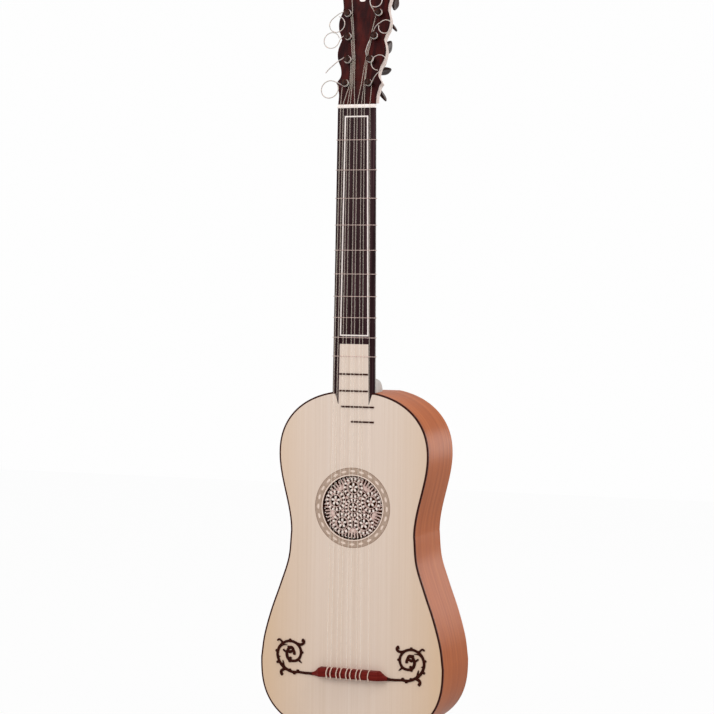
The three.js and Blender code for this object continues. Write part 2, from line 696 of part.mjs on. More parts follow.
// Peg: shaft from the string end through the head, collar and stem behind it, and a flat rounded grip.
const gripTurnShares = [0.18, 0.32, 0.05, 0.42, 0.24, 0.32, 0.9, 0.63, 0.28, 0.54];

function pegGeometry(turn) {
  const collarFront = headBack + JOINT_GAP;
  const collarBack = collarFront + PEG_COLLAR_HEIGHT;
  const stemBack = collarBack + PEG_STEM_LENGTH;
  const profile = [
    [0, -PEG_TIP_REACH],
    [PEG_TIP_RADIUS, -PEG_TIP_REACH],
    [PEG_TIP_RADIUS, -VENEER_THICKNESS],
    [PEG_SHAFT_RADIUS, 0],
    [PEG_SHAFT_RADIUS, collarFront],
    [PEG_COLLAR_RADIUS, collarFront],
    [PEG_COLLAR_RADIUS, collarBack],
    [PEG_STEM_RADIUS, collarBack + PEG_COLLAR_HEIGHT],
    [PEG_STEM_RADIUS, stemBack],
    [0, stemBack],
  ];
  const shaft = new THREE.LatheGeometry(profile.map(([r, y]) => new THREE.Vector2(r, y)), PEG_SIDES);
  const grip = new THREE.SphereGeometry(1, PEG_SIDES, PEG_SIDES / 2);
  grip.scale(PEG_GRIP_HALF_WIDTH, PEG_GRIP_LENGTH / 2, PEG_GRIP_THICKNESS / 2);
  grip.translate(0, stemBack + PEG_GRIP_LENGTH / 2 - PEG_COLLAR_HEIGHT, 0);
  const whole = toGeometry(toSolid(shaft).add(toSolid(grip)));
  return whole.rotateY(turn * Math.PI);
}

function makePegs() {
  pegPlaces.forEach(({ name, x, z }, index) => {
    const peg = addPart(name, pegGeometry(gripTurnShares[index]), "ebony", headGroup);
    peg.position.set(x, 0, z);
  });
}

// Strings, numbered from the bass side: four double courses and a single first course.
const gauges = [
  FIFTH_COURSE_GAUGE,
  FOURTH_COURSE_GAUGE,
  THIRD_COURSE_GAUGE,
  SECOND_COURSE_GAUGE,
  FIRST_COURSE_GAUGE,
];
const strings = [];
gauges.forEach((gauge, course) => {
  const middle = course - (gauges.length - 1) / 2;
  const places = course < gauges.length - 1 ? [-1 / 2, 1 / 2] : [0];
  for (const place of places) {
    strings.push({
      number: strings.length + 1,
      gauge,
      nutX: middle * NUT_COURSE_PITCH + place * NUT_PAIR_SPACING,
      bridgeX: middle * BRIDGE_COURSE_PITCH + place * BRIDGE_PAIR_SPACING,
    });
  }
});
strings.forEach((string, index) => {
  const bass = index < pegColumnShares.length;
  string.row = bass ? index : strings.length - 1 - index;
  string.side = bass ? -1 : 1;
  string.peg = pegPlaces.find(({ side, row }) => side === string.side && row === string.row);
  string.windingRadius = PEG_TIP_RADIUS + JOINT_GAP + string.gauge / 2;
  // The outermost string of each side runs up outside its peg and the others run up inside.
  string.away = string.row === 0 ? string.side : -string.side;
});

const headPoint = (x, y, z) => headGroup.localToWorld(new THREE.Vector3(x, y, z));

function stringRoute({ gauge, nutX, bridgeX, row, side, peg, windingRadius, away }) {
  const endX = peg.x + away * windingRadius;
  const endZ = peg.z - STRING_END_CLEARANCE;
  const points = [headPoint(endX, -WINDING_START_HEIGHT, endZ)];
  const crest = NUT_HEIGHT + gauge / 2 + NUT_STRING_CLEARANCE;
  const crestInHead = headGroup.worldToLocal(new THREE.Vector3(nutX, -crest, NUT_LENGTH));
  for (let passed = row - 1; passed >= 0; passed -= 1) {
    const post = pegPlaces.find((other) => other.side === side && other.row === passed);
    const share = (post.z - crestInHead.z) / (endZ - crestInHead.z);
    const straight = nutX + share * (endX - nutX);
    const spare = windingRadius + STRING_SIDE_STEP * (row - passed);
    const limit = side * (Math.abs(post.x) - spare);
    const x = side < 0 ? Math.max(straight, limit) : Math.min(straight, limit);
    const y = crestInHead.y + share * (-WINDING_START_HEIGHT - crestInHead.y);
    points.push(headPoint(x, y, post.z));
  }
  points.push(new THREE.Vector3(nutX, -crest, NUT_LENGTH));
  points.push(new THREE.Vector3(nutX, -crest, 0));
  const rear = -BRIDGE_FRONT_EDGE - BRIDGE_WIDTH;
  const clear = LOOP_CLEARANCE + gauge / 2;
  const over = -BRIDGE_HEIGHT - clear;
  const lowered = -BRIDGE_STRING_HEIGHT;
  const leaned = bridgeX + LOOP_LEAN;
  points.push(new THREE.Vector3(bridgeX, lowered, -BRIDGE_FRONT_EDGE));
  points.push(new THREE.Vector3(bridgeX, lowered, rear));
  points.push(new THREE.Vector3(bridgeX, lowered - gauge / 2, rear - clear));
  points.push(new THREE.Vector3(bridgeX, over + gauge, rear - clear));
  points.push(new THREE.Vector3(bridgeX, over, rear));
  points.push(new THREE.Vector3(leaned, over, -BRIDGE_FRONT_EDGE));
  points.push(new THREE.Vector3(leaned, over + gauge, -BRIDGE_FRONT_EDGE + clear));
  return points;
}

function makeStrings() {
  for (const string of strings) {
    addPart("string_" + string.number, tube(stringRoute(string), string.gauge, STRING_SIDES), "gut");
  }
}

// String ends: turns round the peg, then a springy free tail that curls in the air.
// Each tail's ring is given from its peg's axis: place across, place up, radius, sweep in turns, sense.
const tailRings = [
  { across: -1.36, up: -0.85, radius: 0.95, turns: 0.86, sense: 1 },
  { across: -1.95, up: -1.36, radius: 1.54, turns: 0.2, sense: 1 },
  { across: -1.76, up: -0.56, radius: 0.94, turns: 0.9, sense: -1 },
  { across: -1.42, up: -1.4, radius: 0.98, turns: 0.86, sense: 1 },
  { across: -1.5, up: 1.05, radius: 0.9, turns: 0.85, sense: 1 },
  { across: -0.42, up: 1.3, radius: 0.86, turns: 0.9, sense: 1 },
  { across: 1.72, up: 0.66, radius: 0.92, turns: 0.88, sense: -1 },
  { across: 1.62, up: -1.1, radius: 0.98, turns: 0.92, sense: -1 },
  { across: 1.3, up: 1.75, radius: 1.5, turns: 0.2, sense: -1 },
];

const tailRiseShares = [
  [0.2, 0.3],
  [0.4, 0.75],
  [0.65, 1],
];

function windingRoute({ number, gauge, row, side, windingRadius, away }) {
  const ring = tailRings[number - 1];
  const ringX = ring.across * TAIL_RING_RADIUS;
  const ringZ = ring.up * TAIL_RING_RADIUS;
  const ringRadius = ring.radius * TAIL_RING_RADIUS;
  const spin = away > 0 ? 1 : -1;
  // The straight line that leaves the winding and joins the ring without a kink.
  const distance = Math.hypot(ringX, ringZ);
  const lean = Math.asin((ring.sense * ringRadius - spin * windingRadius) / distance);
  const heading = Math.atan2(ringZ, ringX) - lean;
  const leaving = heading - (spin * Math.PI) / 2;
  const joining = heading - (ring.sense * Math.PI) / 2;
  const startAngle = away > 0 ? 0 : Math.PI;
  const fullTurn = 2 * Math.PI;
  let sweep = (((leaving - startAngle) * spin) % fullTurn + fullTurn) % fullTurn;
  while (sweep < WINDING_LEAST_TURNS * fullTurn) sweep += fullTurn;
  const turns = sweep / fullTurn;
  const pitch = gauge + WINDING_TURN_GAP;
  const windingSteps = Math.round(turns * WINDING_STEPS_A_TURN);
  const points = [];
  for (let i = 0; i <= windingSteps; i += 1) {
    const angle = startAngle + (spin * sweep * i) / windingSteps;
    const height = WINDING_START_HEIGHT + (pitch * turns * i) / windingSteps;
    const x = windingRadius * Math.cos(angle);
    points.push(new THREE.Vector3(x, -height, windingRadius * Math.sin(angle)));
  }
  // Neighbouring tails lie at different heights, so that each peg can be turned past the next.
  const level = TAIL_FIRST_HEIGHT + TAIL_HEIGHT_STEP * ((row % 2) + (side > 0 ? 2 : 0));
  const last = points[points.length - 1];
  const joinX = ringX + ringRadius * Math.cos(joining);
  const joinZ = ringZ + ringRadius * Math.sin(joining);
  const joint = new THREE.Vector3(joinX, -level, joinZ);
  for (const [share, riseShare] of tailRiseShares) {
    const point = last.clone().lerp(joint, share);
    point.y = last.y + riseShare * (joint.y - last.y);
    points.push(point);
  }
  for (let i = 0; i <= RING_STEPS; i += 1) {
    const share = i / RING_STEPS;
    const angle = joining + ring.sense * share * ring.turns * fullTurn;
    const x = ringX + ringRadius * Math.cos(angle);
    const z = ringZ + ringRadius * Math.sin(angle);
    points.push(new THREE.Vector3(x, -level - share * TAIL_RING_CLIMB, z));
  }
  return points;
}

// Least gap between two stretches of one tube that are more than half a winding turn apart along it.
function leastSelfGap(points, gauge) {
  const skip = Math.ceil(WINDING_STEPS_A_TURN / 2);
  let least = Infinity;
  for (let i = 0; i < points.length; i += 1) {
    for (let j = i + skip; j < points.length; j += 1) {
      least = Math.min(least, points[i].distanceTo(points[j]));
    }
  }
  return least - gauge;
}

function makeWindings() {
  let least = Infinity;
  for (const string of strings) {
    const route = windingRoute(string);
    least = Math.min(least, leastSelfGap(route, string.gauge));
    const winding = tube(route, string.gauge, WINDING_SIDES);
    const mesh = addPart("string_winding_" + string.number, winding, "gut", headGroup);
    mesh.position.set(string.peg.x, 0, string.peg.z);
  }
  console.log("least gap of a winding to itself: " + least.toFixed(2) + " mm");
}

// Rosette ring let into the soundboard, and the pierced rose glued under the opening.
function makeRosetteAndRose() {
  const outer = circle(0, -ROSE_PLACE, ROSETTE_OUTER_RADIUS, CIRCLE_STEPS);
  const inner = circle(0, -ROSE_PLACE, ROSE_OPENING_RADIUS, CIRCLE_STEPS);
  addPart("rosette_ring", panel(outer, flat(0), flat(ROSETTE_DEPTH), [inner]), "rosette");
  const rings = [
    [ROSE_OUTER_HOLES, ROSE_OUTER_RING_RADIUS, ROSE_OUTER_HOLE_RADIUS],
    [ROSE_MIDDLE_HOLES, ROSE_MIDDLE_RING_RADIUS, ROSE_MIDDLE_HOLE_RADIUS],
    [ROSE_INNER_HOLES, ROSE_INNER_RING_RADIUS, ROSE_INNER_HOLE_RADIUS],
  ];
  const holes = [];
  for (const [count, radius, holeRadius] of rings) {
    for (const [x, z] of circle(0, -ROSE_PLACE, radius, count)) {
      holes.push(circle(x, z, holeRadius, ROSE_HOLE_STEPS));
    }
  }
  const disc = circle(0, -ROSE_PLACE, ROSE_OPENING_RADIUS + ROSE_LAP, CIRCLE_STEPS);
  const under = SOUNDBOARD_THICKNESS + ROSE_THICKNESS;
  addPart("rose", panel(disc, underSoundboard, flat(under), holes), "parchment");
}

// Bridge: a bored block whose ends thin down to the stems of the scrolls.
const bridgeCurveShares = [
  [0, 0],
  [0.2, 0.36],
  [0.38, 0.62],
  [0.6, 0.82],
  [0.82, 0.95],
  [1, 1],
];

function makeBridge() {
  const rear = -BRIDGE_FRONT_EDGE - BRIDGE_WIDTH;
  const blockEnd = BRIDGE_BLOCK_LENGTH / 2;
  const wing = (BRIDGE_LENGTH - BRIDGE_BLOCK_LENGTH) / 2;
  const frontHalf = bridgeCurveShares.map(([outShare, backShare]) => [
    blockEnd + outShare * wing,
    -BRIDGE_FRONT_EDGE - backShare * (BRIDGE_WIDTH - BRIDGE_TIP_WIDTH),
  ]);
  const half = [...frontHalf, [BRIDGE_LENGTH / 2, rear]];
  const plan = toSolid(panel([...half, ...mirrored(half)], flat(-BRIDGE_HEIGHT), flat(0)));
  const raised = bridgeCurveShares.map(([outShare, downShare]) => [
    blockEnd + outShare * wing,
    -BRIDGE_HEIGHT + downShare * (BRIDGE_HEIGHT - BRIDGE_TIP_HEIGHT),
  ]);
  const side = [...raised, [BRIDGE_LENGTH / 2, 0]];
  const sideShape = new THREE.Shape([...side, ...mirrored(side)].map(([x, y]) => new THREE.Vector2(x, y)));
  const length = BRIDGE_WIDTH + 2 * CUT_OVERRUN;
  const sideSolid = new THREE.ExtrudeGeometry(sideShape, { depth: length, bevelEnabled: false });
  let solid = plan.intersect(toSolid(sideSolid.translate(0, 0, rear - CUT_OVERRUN)));
  for (const { bridgeX, gauge } of strings) {
    const section = circle(0, 0, gauge / 2 + BRIDGE_HOLE_CLEARANCE, STRING_SIDES);
    const shape = new THREE.Shape(section.map(([x, y]) => new THREE.Vector2(x, y)));
    const bore = new THREE.ExtrudeGeometry(shape, { depth: length, bevelEnabled: false });
    bore.translate(bridgeX, -BRIDGE_STRING_HEIGHT, rear - CUT_OVERRUN);
    solid = solid.subtract(toSolid(bore));
  }
  addPart("bridge", toGeometry(solid), "bridgeWood");
}

// Scroll ornament: strokes of changing width on the soundboard, in shares of the scroll's radius.
// Each point is place outward, place up and half width in shares of the stroke's half width.
const scrollStemShares = [
  [-1.28, -1.05, 0.85],
  [-0.85, -1.07, 0.85],
  [-0.4, -1.05, 0.95],
  [0, -1.06, 1.05],
  [0.28, -0.98, 1.1],
  [0.55, -0.79, 1.1],
  [0.77, -0.54, 1.15],
  [0.9, -0.23, 1.2],
  [0.93, 0.12, 1.2],
  [0.83, 0.42, 1.2],
  [0.62, 0.69, 1.15],
  [0.33, 0.85, 1.15],
  [0.02, 0.88, 1.1],
  [-0.31, 0.76, 1.1],
  [-0.56, 0.51, 1.1],
  [-0.68, 0.19, 1.15],
  [-0.6, -0.12, 1.2],
  [-0.39, -0.31, 1.15],
  [-0.1, -0.39, 1.2],
  [0.17, -0.32, 1.2],
  [0.32, -0.1, 1.1],
  [0.29, 0.18, 1.1],
  [0.14, 0.4, 1],
  [-0.03, 0.5, 0.9],
];
const scrollBranchShares = [
  [[-0.36, 0.74, 1], [-0.6, 0.77, 0.9], [-0.79, 0.9, 0.8], [-0.76, 1.08, 0.9], [-0.66, 1.04, 1.3]],
  [[0.55, 0.74, 0.9], [0.68, 0.84, 0.6], [0.83, 0.92, 0.5], [0.99, 0.81, 0.3]],
  [[0.38, -0.92, 1], [0.58, -1.03, 1], [0.67, -1.18, 0.95], [0.58, -1.34, 0.8]],
  [[-0.46, -0.24, 0.9], [-0.68, -0.43, 0.3]],
  [[0.45, -0.86, 1], [0.53, -0.6, 0.6], [0.56, -0.44, 0.2]],
  [[0.2, 0.36, 0.9], [-0.06, 0.4, 0.9], [-0.17, 0.24, 0.9], [-0.24, 0.06, 0.7]],
  [[0.24, 0.1, 0.9], [0.44, 0.22, 0.7], [0.54, 0.34, 0.5]],
  [[0.1, -0.34, 0.9], [0.02, -0.14, 0.6]],
  [[0.08, 0.84, 0.9], [0.09, 1, 0.4]],
  [[0.88, 0.16, 0.9], [1.04, 0.23, 0.4]],
  [[0.84, -0.44, 0.9], [0.99, -0.54, 0.4]],
  [[-0.64, 0.2, 0.9], [-0.8, 0.22, 0.4]],
  [[-0.43, -1.04, 0.9], [-0.43, -0.88, 0.4]],
  [[-0.2, -1.05, 0.9], [-0.2, -1.22, 0.4]],
  [[0.1, -1.04, 0.9], [0.11, -0.87, 0.4]],
];

function stroke(shares, side) {
  const centre = shares.map(([across, up]) => [
    side * (SCROLL_CENTRE + across * SCROLL_RADIUS),
    -SCROLL_PLACE + up * SCROLL_RADIUS,
  ]);
  const left = [];
  const right = [];
  centre.forEach(([x, z], i) => {
    const [x0, z0] = centre[Math.max(i - 1, 0)];
    const [x1, z1] = centre[Math.min(i + 1, centre.length - 1)];
    const run = new THREE.Vector2(x1 - x0, z1 - z0).normalize();
    const reach = (shares[i][2] * SCROLL_STROKE_WIDTH) / 2;
    left.push([x - run.y * reach, z + run.x * reach]);
    right.push([x + run.y * reach, z - run.x * reach]);
  });
  return toSolid(panel([...left, ...right.reverse()], flat(-SCROLL_THICKNESS), flat(0)));
}

function makeScrolls() {
  for (const [name, side] of Object.entries({ scroll_bass: -1, scroll_treble: 1 })) {
    let solid = stroke(scrollStemShares, side);
    for (const branch of scrollBranchShares) solid = solid.add(stroke(branch, side));
    addPart(name, toGeometry(solid), "ebony");
  }
}

makeSoundboard();
makeRibs();
makeBack();
makeBindingAndLinings();
makeBlocksAndBars();
makeFingerboard();
makeNeck();
makeTiedFrets();
makeNut();
makeHead();
makePegs();
makeStrings();
makeWindings();
makeRosetteAndRose();
makeBridge();
makeScrolls();

export default group;
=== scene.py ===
# %% [markdown]
# A baroque guitar in Blender
#
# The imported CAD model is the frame: it says where every piece is and which pieces turn. Each cell
# dresses one piece of the instrument with a finer mesh and a finish of its own. X runs to the treble
# side, Y runs into the body and Z runs up the neck. Sizes are in millimetres until a mesh is made.

# %% Load the frame
import math

import bmesh
import bpy
from mathutils import Matrix, Vector
from mathutils.geometry import tessellate_polygon


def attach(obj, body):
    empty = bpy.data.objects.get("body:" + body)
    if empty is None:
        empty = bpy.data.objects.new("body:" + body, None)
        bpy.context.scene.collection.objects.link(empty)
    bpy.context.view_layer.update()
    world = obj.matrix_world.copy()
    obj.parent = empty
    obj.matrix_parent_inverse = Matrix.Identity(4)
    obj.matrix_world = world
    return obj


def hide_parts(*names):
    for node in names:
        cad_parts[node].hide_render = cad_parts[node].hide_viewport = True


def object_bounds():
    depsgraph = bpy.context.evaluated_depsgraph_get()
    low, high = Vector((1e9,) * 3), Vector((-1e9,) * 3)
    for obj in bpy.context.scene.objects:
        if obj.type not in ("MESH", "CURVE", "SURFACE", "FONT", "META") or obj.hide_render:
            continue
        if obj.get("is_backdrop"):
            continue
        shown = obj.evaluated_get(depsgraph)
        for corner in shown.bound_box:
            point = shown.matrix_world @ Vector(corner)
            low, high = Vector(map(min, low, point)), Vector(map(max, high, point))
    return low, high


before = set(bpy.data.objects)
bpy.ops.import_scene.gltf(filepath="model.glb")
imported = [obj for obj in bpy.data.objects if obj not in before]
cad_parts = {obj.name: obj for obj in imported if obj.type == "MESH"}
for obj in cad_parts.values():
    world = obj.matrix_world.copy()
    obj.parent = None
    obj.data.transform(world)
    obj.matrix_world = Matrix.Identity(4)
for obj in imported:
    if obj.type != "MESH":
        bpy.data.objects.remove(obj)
cad_low, cad_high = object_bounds()
MM = 0.001
BODY = "guitar"
print("nodes in the frame:", len(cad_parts))

# %% [markdown]
# The camera stands where the photographer stood: a little to the treble side, at the height of the
# sound box, with a long lens. Its place was worked out from the nut, the frets and the bridge.

# %% Camera
CAMERA_PLACE = Vector((932.6, -2382.8, -201.5)) * MM
CAMERA_TURN = math.radians(21.296)
CAMERA_DIP = math.radians(1.886)
CAMERA_ROLL = math.radians(0.610)
CAMERA_LENS = 112.14
CAMERA_REACH = 20


def shown(name, data):
    made = bpy.data.objects.new(name, data)
    bpy.context.scene.collection.objects.link(made)
    return made


stance = Matrix.Translation(CAMERA_PLACE)
for angle, axis in ((CAMERA_TURN, "Z"), (math.pi / 2 - CAMERA_DIP, "X"), (CAMERA_ROLL, "Z")):
    stance = stance @ Matrix.Rotation(angle, 4, axis)
camera = shown("camera", bpy.data.cameras.new("camera"))
camera.data.lens = CAMERA_LENS
camera.data.clip_end = CAMERA_REACH
camera.matrix_world = stance
bpy.context.scene.camera = camera
print("camera looks down by degrees:", round(math.degrees(CAMERA_DIP), 2))

# %% [markdown]
# A few small helpers serve every finish. One turns the colour codes that a painter would note into
# the linear values that the renderer works with, and one adds a node with its settings, its links
# and, for a colour ramp, its steps of place and colour.
# The others start a material from its shader's own sockets, and colour and dent it by one pattern.


def linear(code):
    shares = [int(code[i : i + 2], 16) / 255 for i in (0, 2, 4)]
    curved = [s / 12.92 if s <= 0.04045 else ((s + 0.055) / 1.055) ** 2.4 for s in shares]
    return (*curved, 1)


def feed(node, inputs):
    for name, value in inputs.items():
        if isinstance(value, bpy.types.Node):
            value = value.outputs[0]
        if isinstance(value, bpy.types.NodeSocket):
            node.id_data.links.new(value, node.inputs[name])
        else:
            node.inputs[name].default_value = value
    return node


def add(tree, kind, inputs=None, steps=(), **settings):
    made = tree.nodes.new(kind)
    for name, value in settings.items():
        setattr(made, name, value)
    for number, (place, code) in enumerate(steps):
        elements = made.color_ramp.elements
        element = elements[number] if number < 2 else elements.new(place)
        element.position = place
        element.color = linear(code)
    return feed(made, inputs or {})


def new_finish(name, sockets):
    material = bpy.data.materials.new(name)
    material.use_nodes = True
    return material, material.node_tree, feed(material.node_tree.nodes["Principled BSDF"], sockets)


def patterned(shader, pattern, steps, strength, depth):
    tree = shader.id_data
    dents = {"Height": pattern, "Strength": strength, "Distance": depth * MM}
    bump = add(tree, "ShaderNodeBump", dents)
    colour = add(tree, "ShaderNodeValToRGB", {"Fac": pattern}, steps)
    feed(shader, {"Base Color": colour, "Normal": bump})


# %% [markdown]
# Wood is drawn as long streaks: a noise is stretched along the grain, and a second, finer one adds
# the pores. The widths are real sizes in millimetres. Where a piece bends, as a rib does, the
# streaks follow an attribute that holds the distance along the bend, and not the world's axes.

# %% Wood
FIGURE_SHARE = 0.7
PORE_SHARE = 0.3
WOOD_DENT = (0.03, 0.3)


def wood(name, slot, steps, across, along, sockets, path=None, pores=0.35):
    material, tree, shader = new_finish(name, sockets)
    if path:
        source = add(tree, "ShaderNodeAttribute", attribute_name=path).outputs["Vector"]
    else:
        source = add(tree, "ShaderNodeTexCoord").outputs["Object"]
    noises = []
    plans = [(across, along, 5, 0.62), (across * pores, along / 2, 2, 0.5)]
    for wide, long, detail, roughness in plans:
        scale = [1 / (size * MM) for size in (wide, wide, long)]
        place = add(tree, "ShaderNodeMapping", {"Vector": source, "Scale": scale})
        noise_inputs = {"Vector": place, "Scale": 1, "Detail": detail, "Roughness": roughness}
        noises.append(add(tree, "ShaderNodeTexNoise", noise_inputs).outputs["Fac"])
    base = add(tree, "ShaderNodeMath", {0: noises[0], 1: FIGURE_SHARE}, operation="MULTIPLY")
    both = add(tree, "ShaderNodeMath", {0: noises[1], 1: PORE_SHARE, 2: base}, operation="MULTIPLY_ADD")
    patterned(shader, both, steps, *WOOD_DENT)
    return material


# %% [markdown]
# The soundboard is quarter-sawn spruce under a thin varnish. Its year rings show as fine upright
# lines about a millimetre and a half apart, and its colour is a little warmer towards the edges and
# the tail. A wave draws the rings over the streaks, and the square of the place across adds warmth.

# %% Spruce
SPRUCE_RING = 1.6
SPRUCE_STREAK = 420
SPRUCE_EDGE = 113.2
SPRUCE_POLISH = {"Roughness": 0.42, "Coat Weight": 0.12, "Coat Roughness": 0.3}
RING_STRENGTH = 0.8
WARMTH_DOWN = -0.5
WARMTH_START = 0.18

spruce_steps = [(0.3, "DDCABA"), (0.5, "E6D4C7"), (0.72, "ECDDD2")]
widths = (SPRUCE_RING * 2, SPRUCE_STREAK)
spruce = wood("varnished_spruce", "spruce", spruce_steps, *widths, SPRUCE_POLISH, pores=0.45)
tree = spruce.node_tree
shader = tree.nodes["Principled BSDF"]
streaks = shader.inputs["Base Color"].links[0].from_socket
source = add(tree, "ShaderNodeTexCoord").outputs["Object"]
apart = add(tree, "ShaderNodeSeparateXYZ", {0: source}).outputs
waved = {"Vector": source, "Scale": 1 / (SPRUCE_RING * MM), "Distortion": 0.6}
waved.update({"Detail": 1, "Detail Scale": 0.02})
rings = add(tree, "ShaderNodeTexWave", waved, bands_direction="X").outputs["Fac"]
ring_tone = add(tree, "ShaderNodeValToRGB", {"Fac": rings}, [(0, "F8F1EA"), (1, "FFFFFF")])
mixed = {"Factor": RING_STRENGTH, 6: streaks, 7: ring_tone}
ringed = add(tree, "ShaderNodeMix", mixed, data_type="RGBA", blend_type="MULTIPLY").outputs[2]
outwards = add(tree, "ShaderNodeMath", {0: apart["X"], 1: 1 / (SPRUCE_EDGE * MM)}, operation="MULTIPLY")
squared = add(tree, "ShaderNodeMath", {0: outwards, 1: outwards}, operation="MULTIPLY")
lower = {0: apart["Z"], 1: WARMTH_DOWN, 2: squared}
warmer = add(tree, "ShaderNodeMath", lower, operation="MULTIPLY_ADD")
share = add(tree, "ShaderNodeMath", {0: warmer, 1: WARMTH_START}, operation="SUBTRACT", use_clamp=True)
mixed = {"Factor": share, 6: ringed, 7: linear("DBBB9B")}
feed(shader, {"Base Color": add(tree, "ShaderNodeMix", mixed, data_type="RGBA").outputs[2]})
print("finish:", spruce.name)

# %% [markdown]
# The other woods differ in colour, in the width of their streaks and in their polish. The ribs are a
# warm reddish wood under varnish, the fingerboard is a dark wood with lighter streaks, and the bridge
# is a red-brown wood. The neck and the head's core are one pale maple in two copies. The neck's copy is
# greyer, which paints the shade on the neck and the heel. The head's copy is paler, which paints the
# strong light on the head's side.

# %% The other woods
VARNISHED = {"Roughness": 0.38, "Specular IOR Level": 0.04}
OILED = {"Roughness": 0.5, "Specular IOR Level": 0.25}
DARK_POLISH = {"Roughness": 0.42, "Specular IOR Level": 0.05}
PEG_POLISH = {"Roughness": 0.36, "Specular IOR Level": 0.08}
RAW = {"Roughness": 0.8}

steps = [(0.25, "92481F"), (0.5, "AF5C2D"), (0.75, "C06E3B")]
rib_wood = wood("varnished_rib_wood", "rib_wood", steps, 7, 160, VARNISHED, path="grain")
back_wood = wood("varnished_back_wood", "rib_wood", steps, 9, 220, VARNISHED)
# The neck's copy of the maple is greyer: its colour paints the shade on the neck and the heel.
steps = [(0.3, "A29A91"), (0.5, "B0A9A2"), (0.75, "BEB8B2")]
maple = wood("oiled_maple_painted_shade", "maple", steps, 5, 60, OILED)
# The head's copy of the same maple is paler: its colour paints the strong light on the head's side.
steps = [(0.3, "CBB6AC"), (0.5, "DAC8BF"), (0.75, "E4D6CE")]
lit_head_maple = wood("head_maple_painted_light", "maple", steps, 5, 60, OILED)
steps = [(0.36, "180B0D"), (0.5, "2A1518"), (0.62, "4A3236"), (0.76, "664B50")]
dark_board = wood("oiled_dark_board", "dark_board", steps, 2.6, 260, DARK_POLISH)
steps = [(0.34, "1C080B"), (0.47, "2D0D0E"), (0.58, "461411"), (0.76, "5A1C15")]
veneer = wood("varnished_head_veneer", "veneer", steps, 11, 130, DARK_POLISH)
steps = [(0.3, "260903"), (0.55, "351107"), (0.8, "48200F")]
ebony = wood("polished_dark_wood", "ebony", steps, 1.8, 20, DARK_POLISH)
steps = [(0.3, "140604"), (0.5, "2A130D"), (0.72, "623A2D")]
peg_wood = wood("polished_peg_wood", "ebony", steps, 2.4, 14, PEG_POLISH)
steps = [(0.3, "531310"), (0.52, "6A1B16"), (0.75, "842C24")]
bridge_wood = wood("oiled_bridge_wood", "bridge_wood", steps, 60, 2.4, DARK_POLISH)
steps = [(0.3, "2A0A04"), (0.6, "3A1008"), (0.8, "4B1B0F")]
binding_wood = wood("polished_binding", "ebony", steps, 2, 60, DARK_POLISH)
steps = [(0.3, "B99C74"), (0.7, "D8C09A")]
inner_spruce = wood("bare_inner_spruce", "inner_spruce", steps, 2, 200, RAW)

# %% [markdown]
# Gut lets light through: stretched over dark wood it looks grey, and over spruce it almost vanishes,
# so the finish of the speaking strings and of the frets covers only a part of what lies behind. Bone
# is denser, with a soft gloss, and parchment is matt with cloudy stains. Each has only a faint
# pattern between two colours, at the size of its own clouds in millimetres.

# %% Gut, bone and parchment
CLOUD_DENT = (0.05, 0.2)


def cloudy(name, low, high, cloud, roughness, more=None):
    material, tree, shader = new_finish(name, {"Roughness": roughness, **(more or {})})
    source = add(tree, "ShaderNodeTexCoord").outputs["Object"]
    inputs = {"Vector": source, "Scale": 1 / (cloud * MM), "Detail": 4, "Roughness": 0.6}
    clouds = add(tree, "ShaderNodeTexNoise", inputs).outputs["Fac"]
    patterned(shader, clouds, [(0.3, low), (0.7, high)], *CLOUD_DENT)
    return material


waxy = {"Subsurface Weight": 0.15, "Subsurface Scale": 0.4 * MM}
gut = cloudy("waxy_gut", "B1A59D", "CDC0B8", 3, 0.35, waxy)
tied_gut = cloudy("dry_tied_gut", "CFB1A0", "E6C9B7", 3, 0.5)
string_gut = cloudy("translucent_string_gut", "F8E9D6", "FFF6E8", 3, 0.4, {"Alpha": 0.21})
fret_gut = cloudy("translucent_fret_gut", "DDBDB6", "EFD6CC", 3, 0.45, {"Alpha": 0.62})
bone = cloudy("polished_bone", "F0E2DB", "FBF2ED", 4, 0.3)
parchment = cloudy("pierced_parchment", "F6E6DC", "FFF6EE", 2.5, 0.75)
# The rose's lower layer is the same parchment in a darker colour, which paints the shade it lies in.
shaded_parchment = cloudy("shaded_parchment", "C4A49B", "EACDC3", 4, 0.85)
rosette_ground = cloudy("rosette_ground", "A18772", "BBA291", 3, 0.55)
rosette_line = cloudy("rosette_line", "866858", "9E8370", 3, 0.55)
pale_inlay = cloudy("pale_inlay", "E0C8B8", "EED8C9", 3, 0.5)

# %% [markdown]
# Every mesh is built from plain lists of points in millimetres. One helper turns such lists into an
# object, hides the CAD nodes that it stands for, and lets it ride on the empty of its body. Edges
# sharper than 35 degrees stay crisp and all the others are shaded smooth.

# %% Helpers for meshes
CRISP_ANGLE = math.radians(35)


def shade(mesh):
    mesh.polygons.foreach_set("use_smooth", [True] * len(mesh.polygons))
    mesh.set_sharp_from_angle(angle=CRISP_ANGLE)


def settle(made, nodes="", body=BODY):
    if nodes:
        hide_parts(*nodes.split())
    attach(made, body)
    print(made.name, "rides on", body, "with faces:", len(made.data.polygons))
    return made


def piece(name, shape, finish, nodes="", body=BODY, place=None):
    points, faces = shape
    mesh = bpy.data.meshes.new(name)
    mesh.from_pydata([Vector(point) * MM for point in points], [], faces)
    shell = bmesh.new()
    shell.from_mesh(mesh)
    bmesh.ops.recalc_face_normals(shell, faces=shell.faces[:])
    shell.to_mesh(mesh)
    shell.free()
    if place:
        mesh.transform(place)
    shade(mesh)
    mesh.materials.append(finish)
    return settle(shown(name, mesh), nodes, body)


def joined(shapes):
    points = []
    faces = []
    for shape_points, shape_faces in shapes:
        start = len(points)
        points.extend(shape_points)
        faces.extend([tuple(start + i for i in face) for face in shape_faces])
    return points, faces


